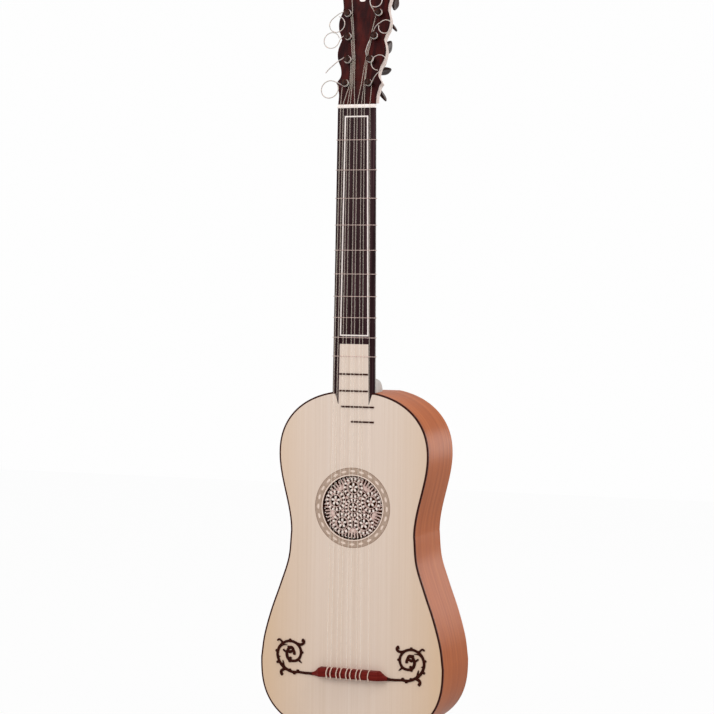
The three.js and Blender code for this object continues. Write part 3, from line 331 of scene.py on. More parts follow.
# %% [markdown]
# Outlines and routes are smooth lines through a few measured points. They can be mirrored, as most
# of the instrument is the same on both sides, and drawn again beside themselves.

# %% Helpers for lines
FULL_TURN = 2 * math.pi
LEAST_CORNER = 0.4


def spline(points, steps):
    """A smooth line through the points, with that many steps between each two."""
    line = []
    for i in range(len(points) - 1):
        here = Vector(points[i])
        after = Vector(points[i + 1])
        before = Vector(points[i - 1]) if i else here * 2 - after
        beyond = Vector(points[i + 2]) if i + 2 < len(points) else after * 2 - here
        for k in range(steps):
            t = k / steps
            pull = (after - before) * t + (before * 2 - here * 5 + after * 4 - beyond) * t**2
            push = (here * 3 - before - after * 3 + beyond) * t**3
            line.append(tuple(here + (pull + push) / 2))
    line.append(tuple(points[-1]))
    return line


def cornered_spline(points, steps, corners):
    """The same, with a sharp corner at some of the points."""
    stops = [0, *corners, len(points) - 1]
    line = [tuple(points[0])]
    for start, end in zip(stops, stops[1:]):
        line.extend(spline(points[start : end + 1], steps)[1:])
    return line


def anticlockwise(loop):
    area = sum(a[0] * b[1] - b[0] * a[1] for a, b in zip(loop, [*loop[1:], loop[0]]))
    return list(loop) if area > 0 else list(loop)[::-1]


def mirrored(points):
    return [(-x, z) for x, z in points][::-1]


def beside(line, distance, closed=True):
    """A line drawn parallel on the left side, which is inside a closed anticlockwise outline."""
    drawn = []
    for i, point in enumerate(line):
        here = Vector(point)
        run_in = here - Vector(line[i - 1])
        run_out = Vector(line[(i + 1) % len(line)]) - here
        if not closed and i == 0:
            run_in = run_out
        if not closed and i == len(line) - 1:
            run_out = run_in
        left_in, left_out = [Vector((-run.y, run.x)).normalized() for run in (run_in, run_out)]
        middle = (left_in + left_out).normalized()
        drawn.append(tuple(here + middle * distance / max(middle.dot(left_in), LEAST_CORNER)))
    return drawn


def round_angles(steps):
    return [FULL_TURN * i / steps for i in range(steps)]


def circle(centre_x, centre_z, radius, steps):
    angles = round_angles(steps)
    return [(centre_x + radius * math.cos(a), centre_z + radius * math.sin(a)) for a in angles]


def signed_power(value, power):
    return math.copysign(abs(value) ** power, value)


# %% [markdown]
# Two kinds of solid make almost everything. A slab is a board cut to an outline, with holes and
# rounded edges, as a saw and a file leave it. A loft is a row of rings, as on a turned or bent piece.

# %% Helpers for solids


def slab(outline, front, back, holes=(), rounding=0.0, rounding_steps=3, ledge=None):
    """A board in X and Z. Each face is a place in Y, or a rule that gives it along Z.

    A ledge is a wider outline and a depth: a step cut from the front round the first hole.
    """
    rules = [face if callable(face) else lambda z, y=face: y for face in (front, back)]

    def front_ring(line, deeper=0.0):
        return [(x, rules[0](z) + deeper, z) for x, z in line]

    def back_ring(line, higher=0.0):
        return [(x, rules[1](z) - higher, z) for x, z in line]

    edge = anticlockwise(outline)
    angles = [math.pi / 2 * k / rounding_steps for k in range(rounding_steps + 1)] if rounding else [0]
    rims = [(beside(edge, rounding * (1 - math.sin(a))), rounding * (1 - math.cos(a))) for a in angles]
    walls = [[front_ring(*rim) for rim in rims] + [back_ring(*rim) for rim in rims[::-1]]]
    for number, hole in enumerate(holes):
        line = anticlockwise(hole)[::-1]
        wall = [front_ring(line), back_ring(line)]
        if ledge and number == 0:
            wide = anticlockwise(ledge[0])[::-1]
            wall = [front_ring(wide), front_ring(wide, ledge[1])]
            wall += [front_ring(line, ledge[1]), back_ring(line)]
        walls.append(wall)
    points = []
    faces = []
    caps = ([], [])
    for wall in walls:
        count = len(wall[0])
        starts = [len(points) + count * number for number in range(len(wall))]
        for ring in wall:
            points.extend(ring)
        for here, after in zip(starts, starts[1:]):
            for i in range(count):
                j = (i + 1) % count
                faces.append((here + i, here + j, after + j, after + i))
        caps[0].append((starts[0], count))
        caps[1].append((starts[-1], count))
    for cap in caps:
        lines = [[Vector((points[s + i][0], points[s + i][2], 0)) for i in range(n)] for s, n in cap]
        index = [s + i for s, n in cap for i in range(n)]
        faces.extend([tuple(index[i] for i in corner) for corner in tessellate_polygon(lines)])
    return points, faces


def lofted(rings):
    """Closed rings of equally many points joined into a tube, with a face over each end."""
    count = len(rings[0])
    points = [point for ring in rings for point in ring]
    faces = []
    for start in range(0, len(points) - count, count):
        for i in range(count):
            j = (i + 1) % count
            faces.append((start + i, start + j, start + count + j, start + count + i))
    faces.append(tuple(range(count)))
    faces.append(tuple(range(len(points) - count, len(points))))
    return points, faces


def tube(line, radii, sides=12, thickness=None, squareness=1.0):
    """A rod along a line. A thickness makes it flat in Y, and a squareness below 1 makes it squarer."""
    places = [Vector(point) for point in line]
    sizes = radii if isinstance(radii, list) else [radii] * len(places)
    rings = []
    upward = None
    for i, place in enumerate(places):
        ahead = (places[min(i + 1, len(places) - 1)] - places[max(i - 1, 0)]).normalized()
        if upward is None:
            upward = Vector((0, 1, 0)) if abs(ahead.y) < 0.9 else ahead.orthogonal()
        upward = (upward - ahead * ahead.dot(upward)).normalized()
        across = upward.cross(ahead)
        height = thickness / 2 if thickness else sizes[i]
        ring = []
        for angle in round_angles(sides):
            wide = signed_power(math.cos(angle), squareness) * sizes[i]
            tall = signed_power(math.sin(angle), squareness) * height
            ring.append(tuple(place + across * wide + upward * tall))
        rings.append(ring)
    return lofted(rings)


# %% [markdown]
# The outline of the body follows four rules from the neck to the tail: a full, rounded shoulder, an
# easing curve down to the waist, a swelling flank and a full, rounded tail. The same rules made the
# CAD solids, and here they are walked in much shorter steps.

# %% Body outline
BODY_TOP = 326.8
UPPER_BOUT_PLACE = 399.1
WAIST_PLACE = 490.1
LOWER_BOUT_PLACE = 640
BODY_BOTTOM = 725.6
UPPER_BOUT_HALF_WIDTH = 92.2
WAIST_HALF_WIDTH = 76.7
LOWER_BOUT_HALF_WIDTH = 113.2
SHOULDER_ROUNDNESS = 2.23
TAIL_ROUNDNESS = 2.63
DEPTH_AT_TOP = 85.2
DEPTH_AT_BOTTOM = 91.6
NECK_HALF_WIDTH_AT_BODY = 26
BEARD_HALF_WIDTH_AT_BODY = 22.8
BOARD_THICKNESS = 2.5
RIB_THICKNESS = 2
BINDING_WIDTH = 2
SEAM = 0.1
OUTLINE_STEPS = 40

flank_shares = [(0, 0), (0.208, 0.082), (0.416, 0.358), (0.624, 0.668), (0.828, 0.902), (1, 1)]
back_slope = (DEPTH_AT_BOTTOM - DEPTH_AT_TOP) / (BODY_BOTTOM - BODY_TOP)


def rounded_end(half_width, place, end, roundness):
    """From the widest place towards an end of the body, as far as the flat for the neck."""
    flat_share = (NECK_HALF_WIDTH_AT_BODY / half_width) ** roundness
    last_angle = math.asin(math.sqrt(1 - flat_share))
    height = (end - place) / (1 - flat_share) ** (1 / roundness)
    angles = [last_angle * i / OUTLINE_STEPS for i in range(OUTLINE_STEPS + 1)]
    power = 2 / roundness
    return [(half_width * math.cos(a) ** power, -place - height * math.sin(a) ** power) for a in angles]


def half_outline():
    line = [(0, -BODY_TOP), (NECK_HALF_WIDTH_AT_BODY, -BODY_TOP)]
    line += rounded_end(UPPER_BOUT_HALF_WIDTH, UPPER_BOUT_PLACE, BODY_TOP, SHOULDER_ROUNDNESS)[-2::-1]
    for i in range(1, OUTLINE_STEPS + 1):
        share = i / OUTLINE_STEPS
        ease = share * share * (3 - 2 * share)
        x = UPPER_BOUT_HALF_WIDTH + ease * (WAIST_HALF_WIDTH - UPPER_BOUT_HALF_WIDTH)
        line.append((x, -UPPER_BOUT_PLACE - share * (WAIST_PLACE - UPPER_BOUT_PLACE)))
    for down, out in spline(flank_shares, OUTLINE_STEPS // 5)[1:]:
        x = WAIST_HALF_WIDTH + out * (LOWER_BOUT_HALF_WIDTH - WAIST_HALF_WIDTH)
        line.append((x, -WAIST_PLACE - down * (LOWER_BOUT_PLACE - WAIST_PLACE)))
    line += rounded_end(LOWER_BOUT_HALF_WIDTH, LOWER_BOUT_PLACE, BODY_BOTTOM, TAIL_ROUNDNESS)[1:]
    return [*line, (0, -BODY_BOTTOM)]


def back_outer(z):
    return DEPTH_AT_TOP + back_slope * (-z - BODY_TOP)


def back_inner(z):
    return back_outer(z) - BOARD_THICKNESS


def back_seat(z):
    return back_inner(z) - SEAM


outline = half_outline()
rib_inside = beside(outline, -RIB_THICKNESS, closed=False)
binding_inside = beside(outline, -BINDING_WIDTH, closed=False)
print("points of the half outline:", len(outline))

# %% [markdown]
# Each rib is one thin strip of wood bent round a hot iron. Its grain runs along the strip, so every
# point of the mesh stores how far along the bend it lies, and the wood's streaks follow that. The
# back is a thin flat board, and its edge is rounded.

# %% Ribs and back
BACK_ROUNDING = 0.9


def store_grain(made):
    """Depth, a zero, and distance along the bend, kept as an attribute for the wood's streaks."""
    line = [Vector(point) for point in outline]
    runs = [0.0]
    for before, after in zip(line, line[1:]):
        runs.append(runs[-1] + (after - before).length)
    values = []
    for vertex in made.data.vertices:
        here = Vector((abs(vertex.co.x), vertex.co.z)) / MM
        nearest = min(range(len(line)), key=lambda i: (line[i] - here).length_squared)
        values.extend((vertex.co.y, 0, runs[nearest] * MM))
    grain = made.data.attributes.new("grain", "FLOAT_VECTOR", "POINT")
    grain.data.foreach_set("vector", values)


treble = [*outline, *rib_inside[::-1]]
for name, strip in (("rib_treble", treble), ("rib_bass", mirrored(treble))):
    store_grain(piece(name + "_wood", slab(strip, BOARD_THICKNESS, back_seat), rib_wood, name))
whole = [*outline, *mirrored(outline)[1:-1]]
piece("back_wood", slab(whole, back_inner, back_outer, rounding=BACK_ROUNDING), back_wood, "back")

# %% [markdown]
# The binding is a dark strip let into the edge of the soundboard all round. It gives the outline its
# drawn look. Its outer corner is rounded, as wear and scraping leave it.

# %% Binding
BINDING_ROUNDING = 0.35

outer = [(BEARD_HALF_WIDTH_AT_BODY, -BODY_TOP), *outline[1:]]
inner = [(BEARD_HALF_WIDTH_AT_BODY, -BODY_TOP - BINDING_WIDTH), *binding_inside[1:]]
around = [*outer, *mirrored(outer)[1:]]
inside = [*inner, *mirrored(inner)[1:]]
shape = slab([*around, *inside[::-1]], 0, BOARD_THICKNESS, rounding=BINDING_ROUNDING)
piece("binding_strip", shape, binding_wood, "front_binding")

# %% [markdown]
# The soundboard runs up between the two beards of the fingerboard as a pale tongue. It has an
# opening for the rose with a shallow seat for the rosette, and the beards cut into its top.

# %% Soundboard
TONGUE_TOP = 271
TONGUE_HALF_WIDTH_AT_TOP = 17.6
TONGUE_HALF_WIDTH_AT_FOOT = 18.5
BEARD_FOOT = 340.2
BEARD_TIP_WIDTH = 0.8
ROSE_PLACE = 459.9
ROSE_OPENING = 37.1
ROSETTE_RADIUS = 46.5
ROSETTE_DEPTH = 0.9
ROUND_STEPS = 96

beard_shares = [(0, 0), (0.3, 0.33), (0.6, 0.62), (1, 1)]
tongue = [(TONGUE_HALF_WIDTH_AT_TOP, -TONGUE_TOP), (TONGUE_HALF_WIDTH_AT_FOOT, -BEARD_FOOT)]


def beard_edge():
    start = Vector((BEARD_HALF_WIDTH_AT_BODY, -BODY_TOP - BINDING_WIDTH))
    run = Vector((TONGUE_HALF_WIDTH_AT_FOOT + BEARD_TIP_WIDTH, -BEARD_FOOT)) - start
    curve = spline(beard_shares, 6)
    return [(start.x + run.x * inward, start.y + run.y * down) for down, inward in curve]


def rose_circle(radius):
    return circle(0, -ROSE_PLACE, radius, ROUND_STEPS)


half = [*tongue, *beard_edge()[::-1], *binding_inside[1:]]
seat = (rose_circle(ROSETTE_RADIUS), ROSETTE_DEPTH)
shape = slab([*half, *mirrored(half)[1:]], 0, BOARD_THICKNESS, [rose_circle(ROSE_OPENING)], ledge=seat)
piece("soundboard_spruce", shape, spruce, "soundboard")

# %% [markdown]
# The frets on the body are thin strips of dark wood glued on the spruce. The two lower ones stop
# short on the bass side, as they serve only the upper strings.

# %% Body frets
SCALE_LENGTH = 650
OCTAVE_STEPS = 12
BODY_FRET_WIDTH = 1.9
BODY_FRET_HEIGHT = 0.9
BODY_FRET_ROUNDING = 0.3
BODY_FRET_END = NECK_HALF_WIDTH_AT_BODY - 0.6

body_fret_spans = {
    11: (-TONGUE_HALF_WIDTH_AT_TOP, TONGUE_HALF_WIDTH_AT_TOP),
    12: (-TONGUE_HALF_WIDTH_AT_TOP, TONGUE_HALF_WIDTH_AT_TOP),
    13: (-15.4, BODY_FRET_END),
    14: (-2.8, BODY_FRET_END),
}
strips = []
for number, (left, right) in body_fret_spans.items():
    low = -SCALE_LENGTH * (1 - 2 ** (-number / OCTAVE_STEPS)) - BODY_FRET_WIDTH / 2
    high = low + BODY_FRET_WIDTH
    corners = [(left, low), (right, low), (right, high), (left, high)]
    strips.append(slab(corners, -BODY_FRET_HEIGHT, 0, rounding=BODY_FRET_ROUNDING))
piece("body_frets", joined(strips), ebony)

# %% [markdown]
# The fingerboard lies flush with the soundboard and ends in two pointed beards. A pale line is let
# into it as a long frame that follows the board's taper.

# %% Fingerboard and its inlay
NUT_HALF_WIDTH = 23.15
SMALL_ROUNDING = 0.2
INLAY_TOP = 9.7
INLAY_FOOT = 261
INLAY_MARGIN_AT_NUT = 9.6
INLAY_MARGIN_AT_FOOT = 8.5
INLAY_LINE_WIDTH = 1.6
INLAY_DEPTH = 0.8
INLAY_PROUD = 0.03


def board_half_width(z):
    return NUT_HALF_WIDTH + (NECK_HALF_WIDTH_AT_BODY - NUT_HALF_WIDTH) * -z / BODY_TOP


def inlay_frame(reach):
    top = board_half_width(-INLAY_TOP) - INLAY_MARGIN_AT_NUT + reach
    foot = board_half_width(-INLAY_FOOT) - INLAY_MARGIN_AT_FOOT + reach
    high, low = reach - INLAY_TOP, -reach - INLAY_FOOT
    return [(-top, high), (top, high), (foot, low), (-foot, low)]


half = [(NUT_HALF_WIDTH, 0), (NECK_HALF_WIDTH_AT_BODY, -BODY_TOP)]
half += [(BEARD_HALF_WIDTH_AT_BODY, -BODY_TOP), *beard_edge(), *tongue[::-1]]
shape = slab([*half, *mirrored(half)], 0, BOARD_THICKNESS, rounding=SMALL_ROUNDING)
piece("fingerboard_wood", shape, dark_board, "fingerboard")
outer, inner = [inlay_frame(reach) for reach in (INLAY_LINE_WIDTH / 2, -INLAY_LINE_WIDTH / 2)]
piece("fingerboard_line", slab(outer, -INLAY_PROUD, INLAY_DEPTH, [inner]), bone, "fingerboard_inlay")

# %% [markdown]
# The neck is one half-round bar that swells abruptly into the heel. Its rings run from the nut to
# the body, and each ring is a half ellipse that grows narrower towards the back of the heel.

# %% Neck
NECK_SHARPNESS = 1.2
HEEL_LENGTH = 16.4
HEEL_SHARPNESS = 1.4
NECK_DEPTH_AT_NUT = 16.5
NECK_DEPTH_AT_HEEL = 19
NUT_LENGTH = 5.5
HEAD_BACK_AT_NUT = 12.6
NECK_RING_POINTS = 36

neck_shares = [(0.02, 0.32), (0.05, 0.8), (0.09, 1)]
heel_shares = [(0, 0), (0.02, 0.2), (0.08, 0.42), (0.2, 0.66), (0.4, 0.85), (0.7, 0.97), (1, 1)]


def neck_stations():
    head_depth = HEAD_BACK_AT_NUT - BOARD_THICKNESS
    length = BODY_TOP - HEEL_LENGTH
    stations = [(NUT_LENGTH, head_depth, NECK_SHARPNESS)]
    for place, rise in neck_shares:
        depth = head_depth + rise * (NECK_DEPTH_AT_NUT - head_depth)
        stations.append((-place * length, depth, NECK_SHARPNESS))
    heel_depth = DEPTH_AT_TOP - 2 * BOARD_THICKNESS
    foot = []
    for place, rise in heel_shares:
        depth = NECK_DEPTH_AT_HEEL + rise * (heel_depth - NECK_DEPTH_AT_HEEL)
        sharpness = NECK_SHARPNESS + rise * (HEEL_SHARPNESS - NECK_SHARPNESS)
        foot.append((-length - place * HEEL_LENGTH, depth, sharpness))
    return [*spline(stations, 5), *spline(foot, 6)]


def neck_ring(z, depth, sharpness):
    half = NUT_HALF_WIDTH if z > 0 else board_half_width(z)
    ring = []
    for i in range(NECK_RING_POINTS + 1):
        angle = math.pi * i / NECK_RING_POINTS
        deep = max(math.sin(angle), 0) ** sharpness
        across = half * signed_power(math.cos(angle), sharpness)
        ring.append((across, BOARD_THICKNESS + depth * deep, z))
    return ring


piece("neck_maple", lofted([neck_ring(*station) for station in neck_stations()]), maple, "neck")

# %% [markdown]
# The nut is a bar of bone with a shallow groove for each string. Its edges are rounded by filing.
# The strings lie in four pairs and a single one, closer together here than on the bridge.

# %% Strings and nut
NUT_HEIGHT = 1.5
NUT_COURSE_PITCH = 8.6
NUT_PAIR_SPACING = 3.3
BRIDGE_COURSE_PITCH = 12.2
BRIDGE_PAIR_SPACING = 4.9
GROOVE_DEPTH = 0.1
GROOVE_REACH = 0.6
NUT_TRIM = 1.4

course_gauges = [1, 0.9, 0.95, 0.85, 0.75]
strings = []
for course, gauge in enumerate(course_gauges):
    middle = course - (len(course_gauges) - 1) / 2
    for place in (-0.5, 0.5) if course < len(course_gauges) - 1 else (0,):
        nut_x = middle * NUT_COURSE_PITCH + place * NUT_PAIR_SPACING
        bridge_x = middle * BRIDGE_COURSE_PITCH + place * BRIDGE_PAIR_SPACING
        strings.append({"gauge": gauge, "nut_x": nut_x, "bridge_x": bridge_x})

section = [(-NUT_HALF_WIDTH, -NUT_HEIGHT)]
for plan in strings:
    x, reach = plan["nut_x"], plan["gauge"] * GROOVE_REACH
    section += [(x - reach, -NUT_HEIGHT), (x, -NUT_HEIGHT + GROOVE_DEPTH), (x + reach, -NUT_HEIGHT)]
section.append((NUT_HALF_WIDTH, -NUT_HEIGHT))
section += [(NUT_HALF_WIDTH, BOARD_THICKNESS), (-NUT_HALF_WIDTH, BOARD_THICKNESS)]
points, faces = slab(section, 0, NUT_LENGTH - NUT_TRIM, rounding=SMALL_ROUNDING)
piece("nut_bone", ([(x, z, y) for x, y, z in points], faces), bone, "nut")

# %% [markdown]
# Some pieces repeat by a rule, so Geometry Nodes make them. One helper gives a tree its named
# inputs, lets a function grow the tree from them, runs it on an object with its settings and keeps
# the result as a plain mesh. The trees measure in metres, as Blender does.

# %% Helper for repeats
SOCKET_KINDS = {int: "Int", float: "Float", tuple: "Vector", bpy.types.Material: "Material"}


def realised(name, grow, settings, start=None):
    tree = bpy.data.node_groups.new(name, "GeometryNodeTree")
    sockets = [("Start", "INPUT", "Geometry")] if start else []
    sockets += [(label, "INPUT", SOCKET_KINDS[type(value)]) for label, value in settings.items()]
    for label, side, kind in [*sockets, ("Geometry", "OUTPUT", "Geometry")]:
        tree.interface.new_socket(name=label, in_out=side, socket_type="NodeSocket" + kind)
    grown = grow(tree, add(tree, "NodeGroupInput").outputs)
    add(tree, "NodeGroupOutput", {"Geometry": grown})
    made = shown(name, start or bpy.data.meshes.new(name))
    modifier = made.modifiers.new("nodes", "NODES")
    modifier.node_group = tree
    for item in tree.interface.items_tree:
        if item.in_out == "INPUT" and item.name in settings:
            modifier[item.identifier] = settings[item.name]
    evaluated = made.evaluated_get(bpy.context.evaluated_depsgraph_get())
    plain = bpy.data.meshes.new_from_object(evaluated)
    made.modifiers.remove(modifier)
    numbers = [face.material_index for face in plain.polygons]
    used = sorted(set(numbers))
    kept = [plain.materials[number] for number in used]
    plain.materials.clear()
    for finish in kept:
        plain.materials.append(finish)
    plain.polygons.foreach_set("material_index", [used.index(number) for number in numbers])
    made.data = plain
    plain.name = name
    return made


# %% [markdown]
# Ten frets are loops of gut tied round the neck. Each loop sits where the fret rule puts it, takes
# the board's width there, and becomes a round cord.

# %% Tied frets
TIED_FRETS = 10
FRET_GAUGE = 0.8
FRET_REACH = 0.7
FRET_OVERHANG = 1.03
FRET_LOOP_POINTS = 26
FRET_SIDES = 10


def grow_frets(tree, given):
    index = add(tree, "GeometryNodeInputIndex")
    steps = add(tree, "ShaderNodeMath", {0: index, 1: 1}, operation="ADD")
    octaves = add(tree, "ShaderNodeMath", {0: steps, 1: -OCTAVE_STEPS}, operation="DIVIDE")
    left = add(tree, "ShaderNodeMath", {0: 2, 1: octaves}, operation="POWER")
    share = add(tree, "ShaderNodeMath", {0: left, 1: 1}, operation="SUBTRACT")
    place = add(tree, "ShaderNodeMath", {0: share, 1: given["Scale length"]}, operation="MULTIPLY")
    spot = add(tree, "ShaderNodeCombineXYZ", {"Z": place})
    points = add(tree, "GeometryNodePoints", {"Count": given["Count"], "Position": spot})
    wider = {0: place, 1: given["Widening"], 2: given["Half width at nut"]}
    half = add(tree, "ShaderNodeMath", wider, operation="MULTIPLY_ADD")
    size = add(tree, "ShaderNodeCombineXYZ", {"X": half, "Y": 1, "Z": 1})
    loop = add(tree, "GeometryNodeMeshToCurve", {"Mesh": given["Start"]})
    copies_of = {"Points": points, "Instance": loop, "Scale": size}
    copies = add(tree, "GeometryNodeInstanceOnPoints", copies_of)
    real = add(tree, "GeometryNodeRealizeInstances", {"Geometry": copies})
    radius = add(tree, "ShaderNodeMath", {0: given["Gauge"], 1: 2}, operation="DIVIDE")
    circle_of = {"Resolution": FRET_SIDES, "Radius": radius}
    section = add(tree, "GeometryNodeCurvePrimitiveCircle", circle_of)
    cord = add(tree, "GeometryNodeCurveToMesh", {"Curve": real, "Profile Curve": section})
    smooth = add(tree, "GeometryNodeSetShadeSmooth", {"Geometry": cord})
    return add(tree, "GeometryNodeSetMaterial", {"Geometry": smooth, "Material": given["Gut"]})


side = [(FRET_OVERHANG, -FRET_REACH), (FRET_OVERHANG, BOARD_THICKNESS)]
under = []
for i in range(1, FRET_LOOP_POINTS):
    angle = math.pi * i / FRET_LOOP_POINTS
    deep = (NECK_DEPTH_AT_HEEL + FRET_REACH) * math.sin(angle) ** NECK_SHARPNESS
    across = FRET_OVERHANG * signed_power(math.cos(angle), NECK_SHARPNESS)
    under.append((across, BOARD_THICKNESS + deep))
ring = [*side, *under, *mirrored(side)]
loop = bpy.data.meshes.new("fret_loop")
edges = [(i, (i + 1) % len(ring)) for i in range(len(ring))]
loop.from_pydata([(x, y * MM, 0) for x, y in ring], edges, [])
settings = {
    "Count": TIED_FRETS,
    "Scale length": SCALE_LENGTH * MM,
    "Half width at nut": NUT_HALF_WIDTH * MM,
    "Widening": -(NECK_HALF_WIDTH_AT_BODY - NUT_HALF_WIDTH) / BODY_TOP,
    "Gauge": FRET_GAUGE * MM,
    "Gut": fret_gut,
}
fret_names = [f"tied_fret_{n:02d}" for n in range(1, TIED_FRETS + 1)]
settle(realised("tied_gut_frets", grow_frets, settings, loop), " ".join(fret_names))

# %% [markdown]
# The head leans back behind the nut. Its edge is a row of lobes with small points between them, cut
# with a fretsaw through a pale core and a dark veneer. Both layers are made flat and then leaned
# back together, so every piece of the head shares one turn.

# %% Head
HEAD_LENGTH = 165
HEAD_HALF_WIDTH = 31.5
HEAD_THICKNESS = 10
HEAD_ROUNDING = 1.6
VENEER_THICKNESS = 1.5
VENEER_ROUNDING = 0.3
HEAD_RAKE = math.radians(12.5)
HEAD_SETBACK = 0.8
JOINT_GAP = 0.3
PEG_FIRST_ROW = 22.4
PEG_ROW_PITCH = 28
PEG_HALF_SPREAD = 20.6
PEG_HOLE_RADIUS = 3.7
PEG_HOLE_STEPS = 24

HEAD_LEAN = Matrix.Translation(Vector((0, HEAD_SETBACK, NUT_LENGTH)) * MM)
HEAD_LEAN = HEAD_LEAN @ Matrix.Rotation(-HEAD_RAKE, 4, "X")
head_front = VENEER_THICKNESS + JOINT_GAP
head_back = head_front + HEAD_THICKNESS

head_edge_shares = [(0, 0.735), (0.06, 0.737), (0.097, 0.78), (0.125, 0.805), (0.148, 0.883)]
head_edge_shares += [(0.168, 0.815), (0.188, 0.75), (0.215, 0.725), (0.262, 0.77), (0.305, 0.875)]
head_edge_shares += [(0.34, 0.93), (0.382, 0.94), (0.428, 0.886), (0.46, 0.825), (0.5, 0.886)]
head_edge_shares += [(0.534, 0.965), (0.576, 1), (0.612, 0.987), (0.65, 0.924), (0.672, 0.885)]
head_edge_shares += [(0.704, 0.876), (0.758, 0.927), (0.8, 0.962), (0.842, 0.94), (0.878, 0.825)]
head_edge_shares += [(0.9, 0.68), (0.915, 0.56), (0.936, 0.575), (0.962, 0.52)]
head_edge_shares += [(0.986, 0.34), (1, 0.12)]
head_corner_shares = (0.148, 0.46, 0.672, 0.915)
peg_column_shares = [0.695, 0.665, 0.785, 0.925, 1]

pegs = []
for side, word in ((-1, "bass"), (1, "treble")):
    for row, share in enumerate(peg_column_shares):
        place = Vector((side * share * PEG_HALF_SPREAD, 0, PEG_FIRST_ROW + row * PEG_ROW_PITCH))
        pegs.append({"name": f"peg_{word}_{row + 1}", "side": side, "row": row, "place": place})


def head_layer(front, back, rounding, lower=0.0):
    """A layer of the head, cut level with the nut's back and a little lower where that is wanted."""
    corners = [i for i, (up, _) in enumerate(head_edge_shares) if up in head_corner_shares]
    line = cornered_spline(head_edge_shares, 4, corners)
    half = [(out * HEAD_HALF_WIDTH, up * HEAD_LENGTH) for up, out in line]
    half = [(half[0][0], -lower), *half] if lower else half
    holes = [circle(peg["place"].x, peg["place"].z, PEG_HOLE_RADIUS, PEG_HOLE_STEPS) for peg in pegs]
    points, faces = slab([*half, *mirrored(half)], front, back, holes, rounding, 2)
    level = [(JOINT_GAP - lower + y * math.sin(HEAD_RAKE)) / math.cos(HEAD_RAKE) for _, y, _ in points]
    return [(x, y, max(z, floor)) for (x, y, z), floor in zip(points, level)], faces


core = head_layer(head_front, head_back, HEAD_ROUNDING)
piece("head_core", core, lit_head_maple, "head", place=HEAD_LEAN)
sheet = head_layer(0, VENEER_THICKNESS, VENEER_ROUNDING, NUT_TRIM)
piece("head_face", sheet, veneer, "head_veneer", place=HEAD_LEAN)

# %% [markdown]
# Near the top of the head a small pale plate is let into the veneer, a little to one side. It is a
# plain oblong with rounded ends, which one power of the sine and cosine of a circle gives.

# %% Head inlay
PLATE_ACROSS = -4.6
PLATE_PLACE = 130.7
PLATE_HALF_WIDTH = 4.8
PLATE_HALF_HEIGHT = 8.5
PLATE_SQUARENESS = 0.7
PLATE_STEPS = 48
PLATE_PROUD = 0.12
PLATE_DEPTH = 0.6
PLATE_ROUNDING = 0.1

edge = []
for angle in round_angles(PLATE_STEPS):
    across = PLATE_HALF_WIDTH * signed_power(math.cos(angle), PLATE_SQUARENESS)
    along = PLATE_HALF_HEIGHT * signed_power(math.sin(angle), PLATE_SQUARENESS)
    edge.append((PLATE_ACROSS + across, PLATE_PLACE + along))
shape = slab(edge, -PLATE_PROUD, PLATE_DEPTH, rounding=PLATE_ROUNDING)
piece("head_plate", shape, bone, place=HEAD_LEAN)

# %% [markdown]
# A friction peg is turned on a lathe: a slim shaft with a round bead at its string end, which keeps
# the turns of gut from slipping off, and a collar and a waist behind the head. Its thumb piece is
# then flattened with a rasp and hollowed on both faces. No two pegs rest at the same turn.

# %% Pegs
PEG_TIP_REACH = 11
PEG_TIP_RADIUS = 3
PEG_SHAFT_RADIUS = 3.4
PEG_COLLAR_RADIUS = 5.6
PEG_COLLAR_HEIGHT = 2.4
PEG_STEM_LENGTH = 16
PEG_STEM_RADIUS = 3
PEG_SIDES = 32
GRIP_HALF_WIDTH = 10
GRIP_LENGTH = 23
GRIP_THICKNESS = 6.4
GRIP_STEPS = 18
GRIP_FOOT_SHARE = 0.62
GRIP_HOLLOW = 0.35
GRIP_DISH = 0.25
GRIP_SQUARENESS = 0.8

collar_front = head_back + JOINT_GAP
collar_back = collar_front + PEG_COLLAR_HEIGHT
stem_back = collar_back + PEG_STEM_LENGTH
grip_turn_shares = [0.18, 0.32, 0.05, 0.42, 0.24, 0.32, 0.9, 0.63, 0.28, 0.54]
tip_shares = [(0.8, 0.15), (1.16, 0.6), (1.28, 1.2), (1.16, 1.8), (0.94, 2.3)]
peg_profile = [(0.05, -PEG_TIP_REACH)]
peg_profile += [(PEG_TIP_RADIUS * share, -PEG_TIP_REACH + up) for share, up in tip_shares]
peg_profile += [
    (PEG_TIP_RADIUS * 0.97, -VENEER_THICKNESS),
    (PEG_SHAFT_RADIUS * 0.97, 0),
    (PEG_SHAFT_RADIUS, collar_front - 0.2),
    (PEG_COLLAR_RADIUS * 0.9, collar_front),
    (PEG_COLLAR_RADIUS, collar_front + 0.6),
    (PEG_COLLAR_RADIUS, collar_back - 0.6),
    (PEG_COLLAR_RADIUS * 0.82, collar_back),
    (PEG_STEM_RADIUS * 0.95, collar_back + 1.2),
    (PEG_STEM_RADIUS * 0.8, collar_back + 2.8),
    (PEG_STEM_RADIUS, stem_back - 1.5),
    (PEG_STEM_RADIUS * 1.15, stem_back),
    (PEG_STEM_RADIUS * 0.3, stem_back + 0.4),
]


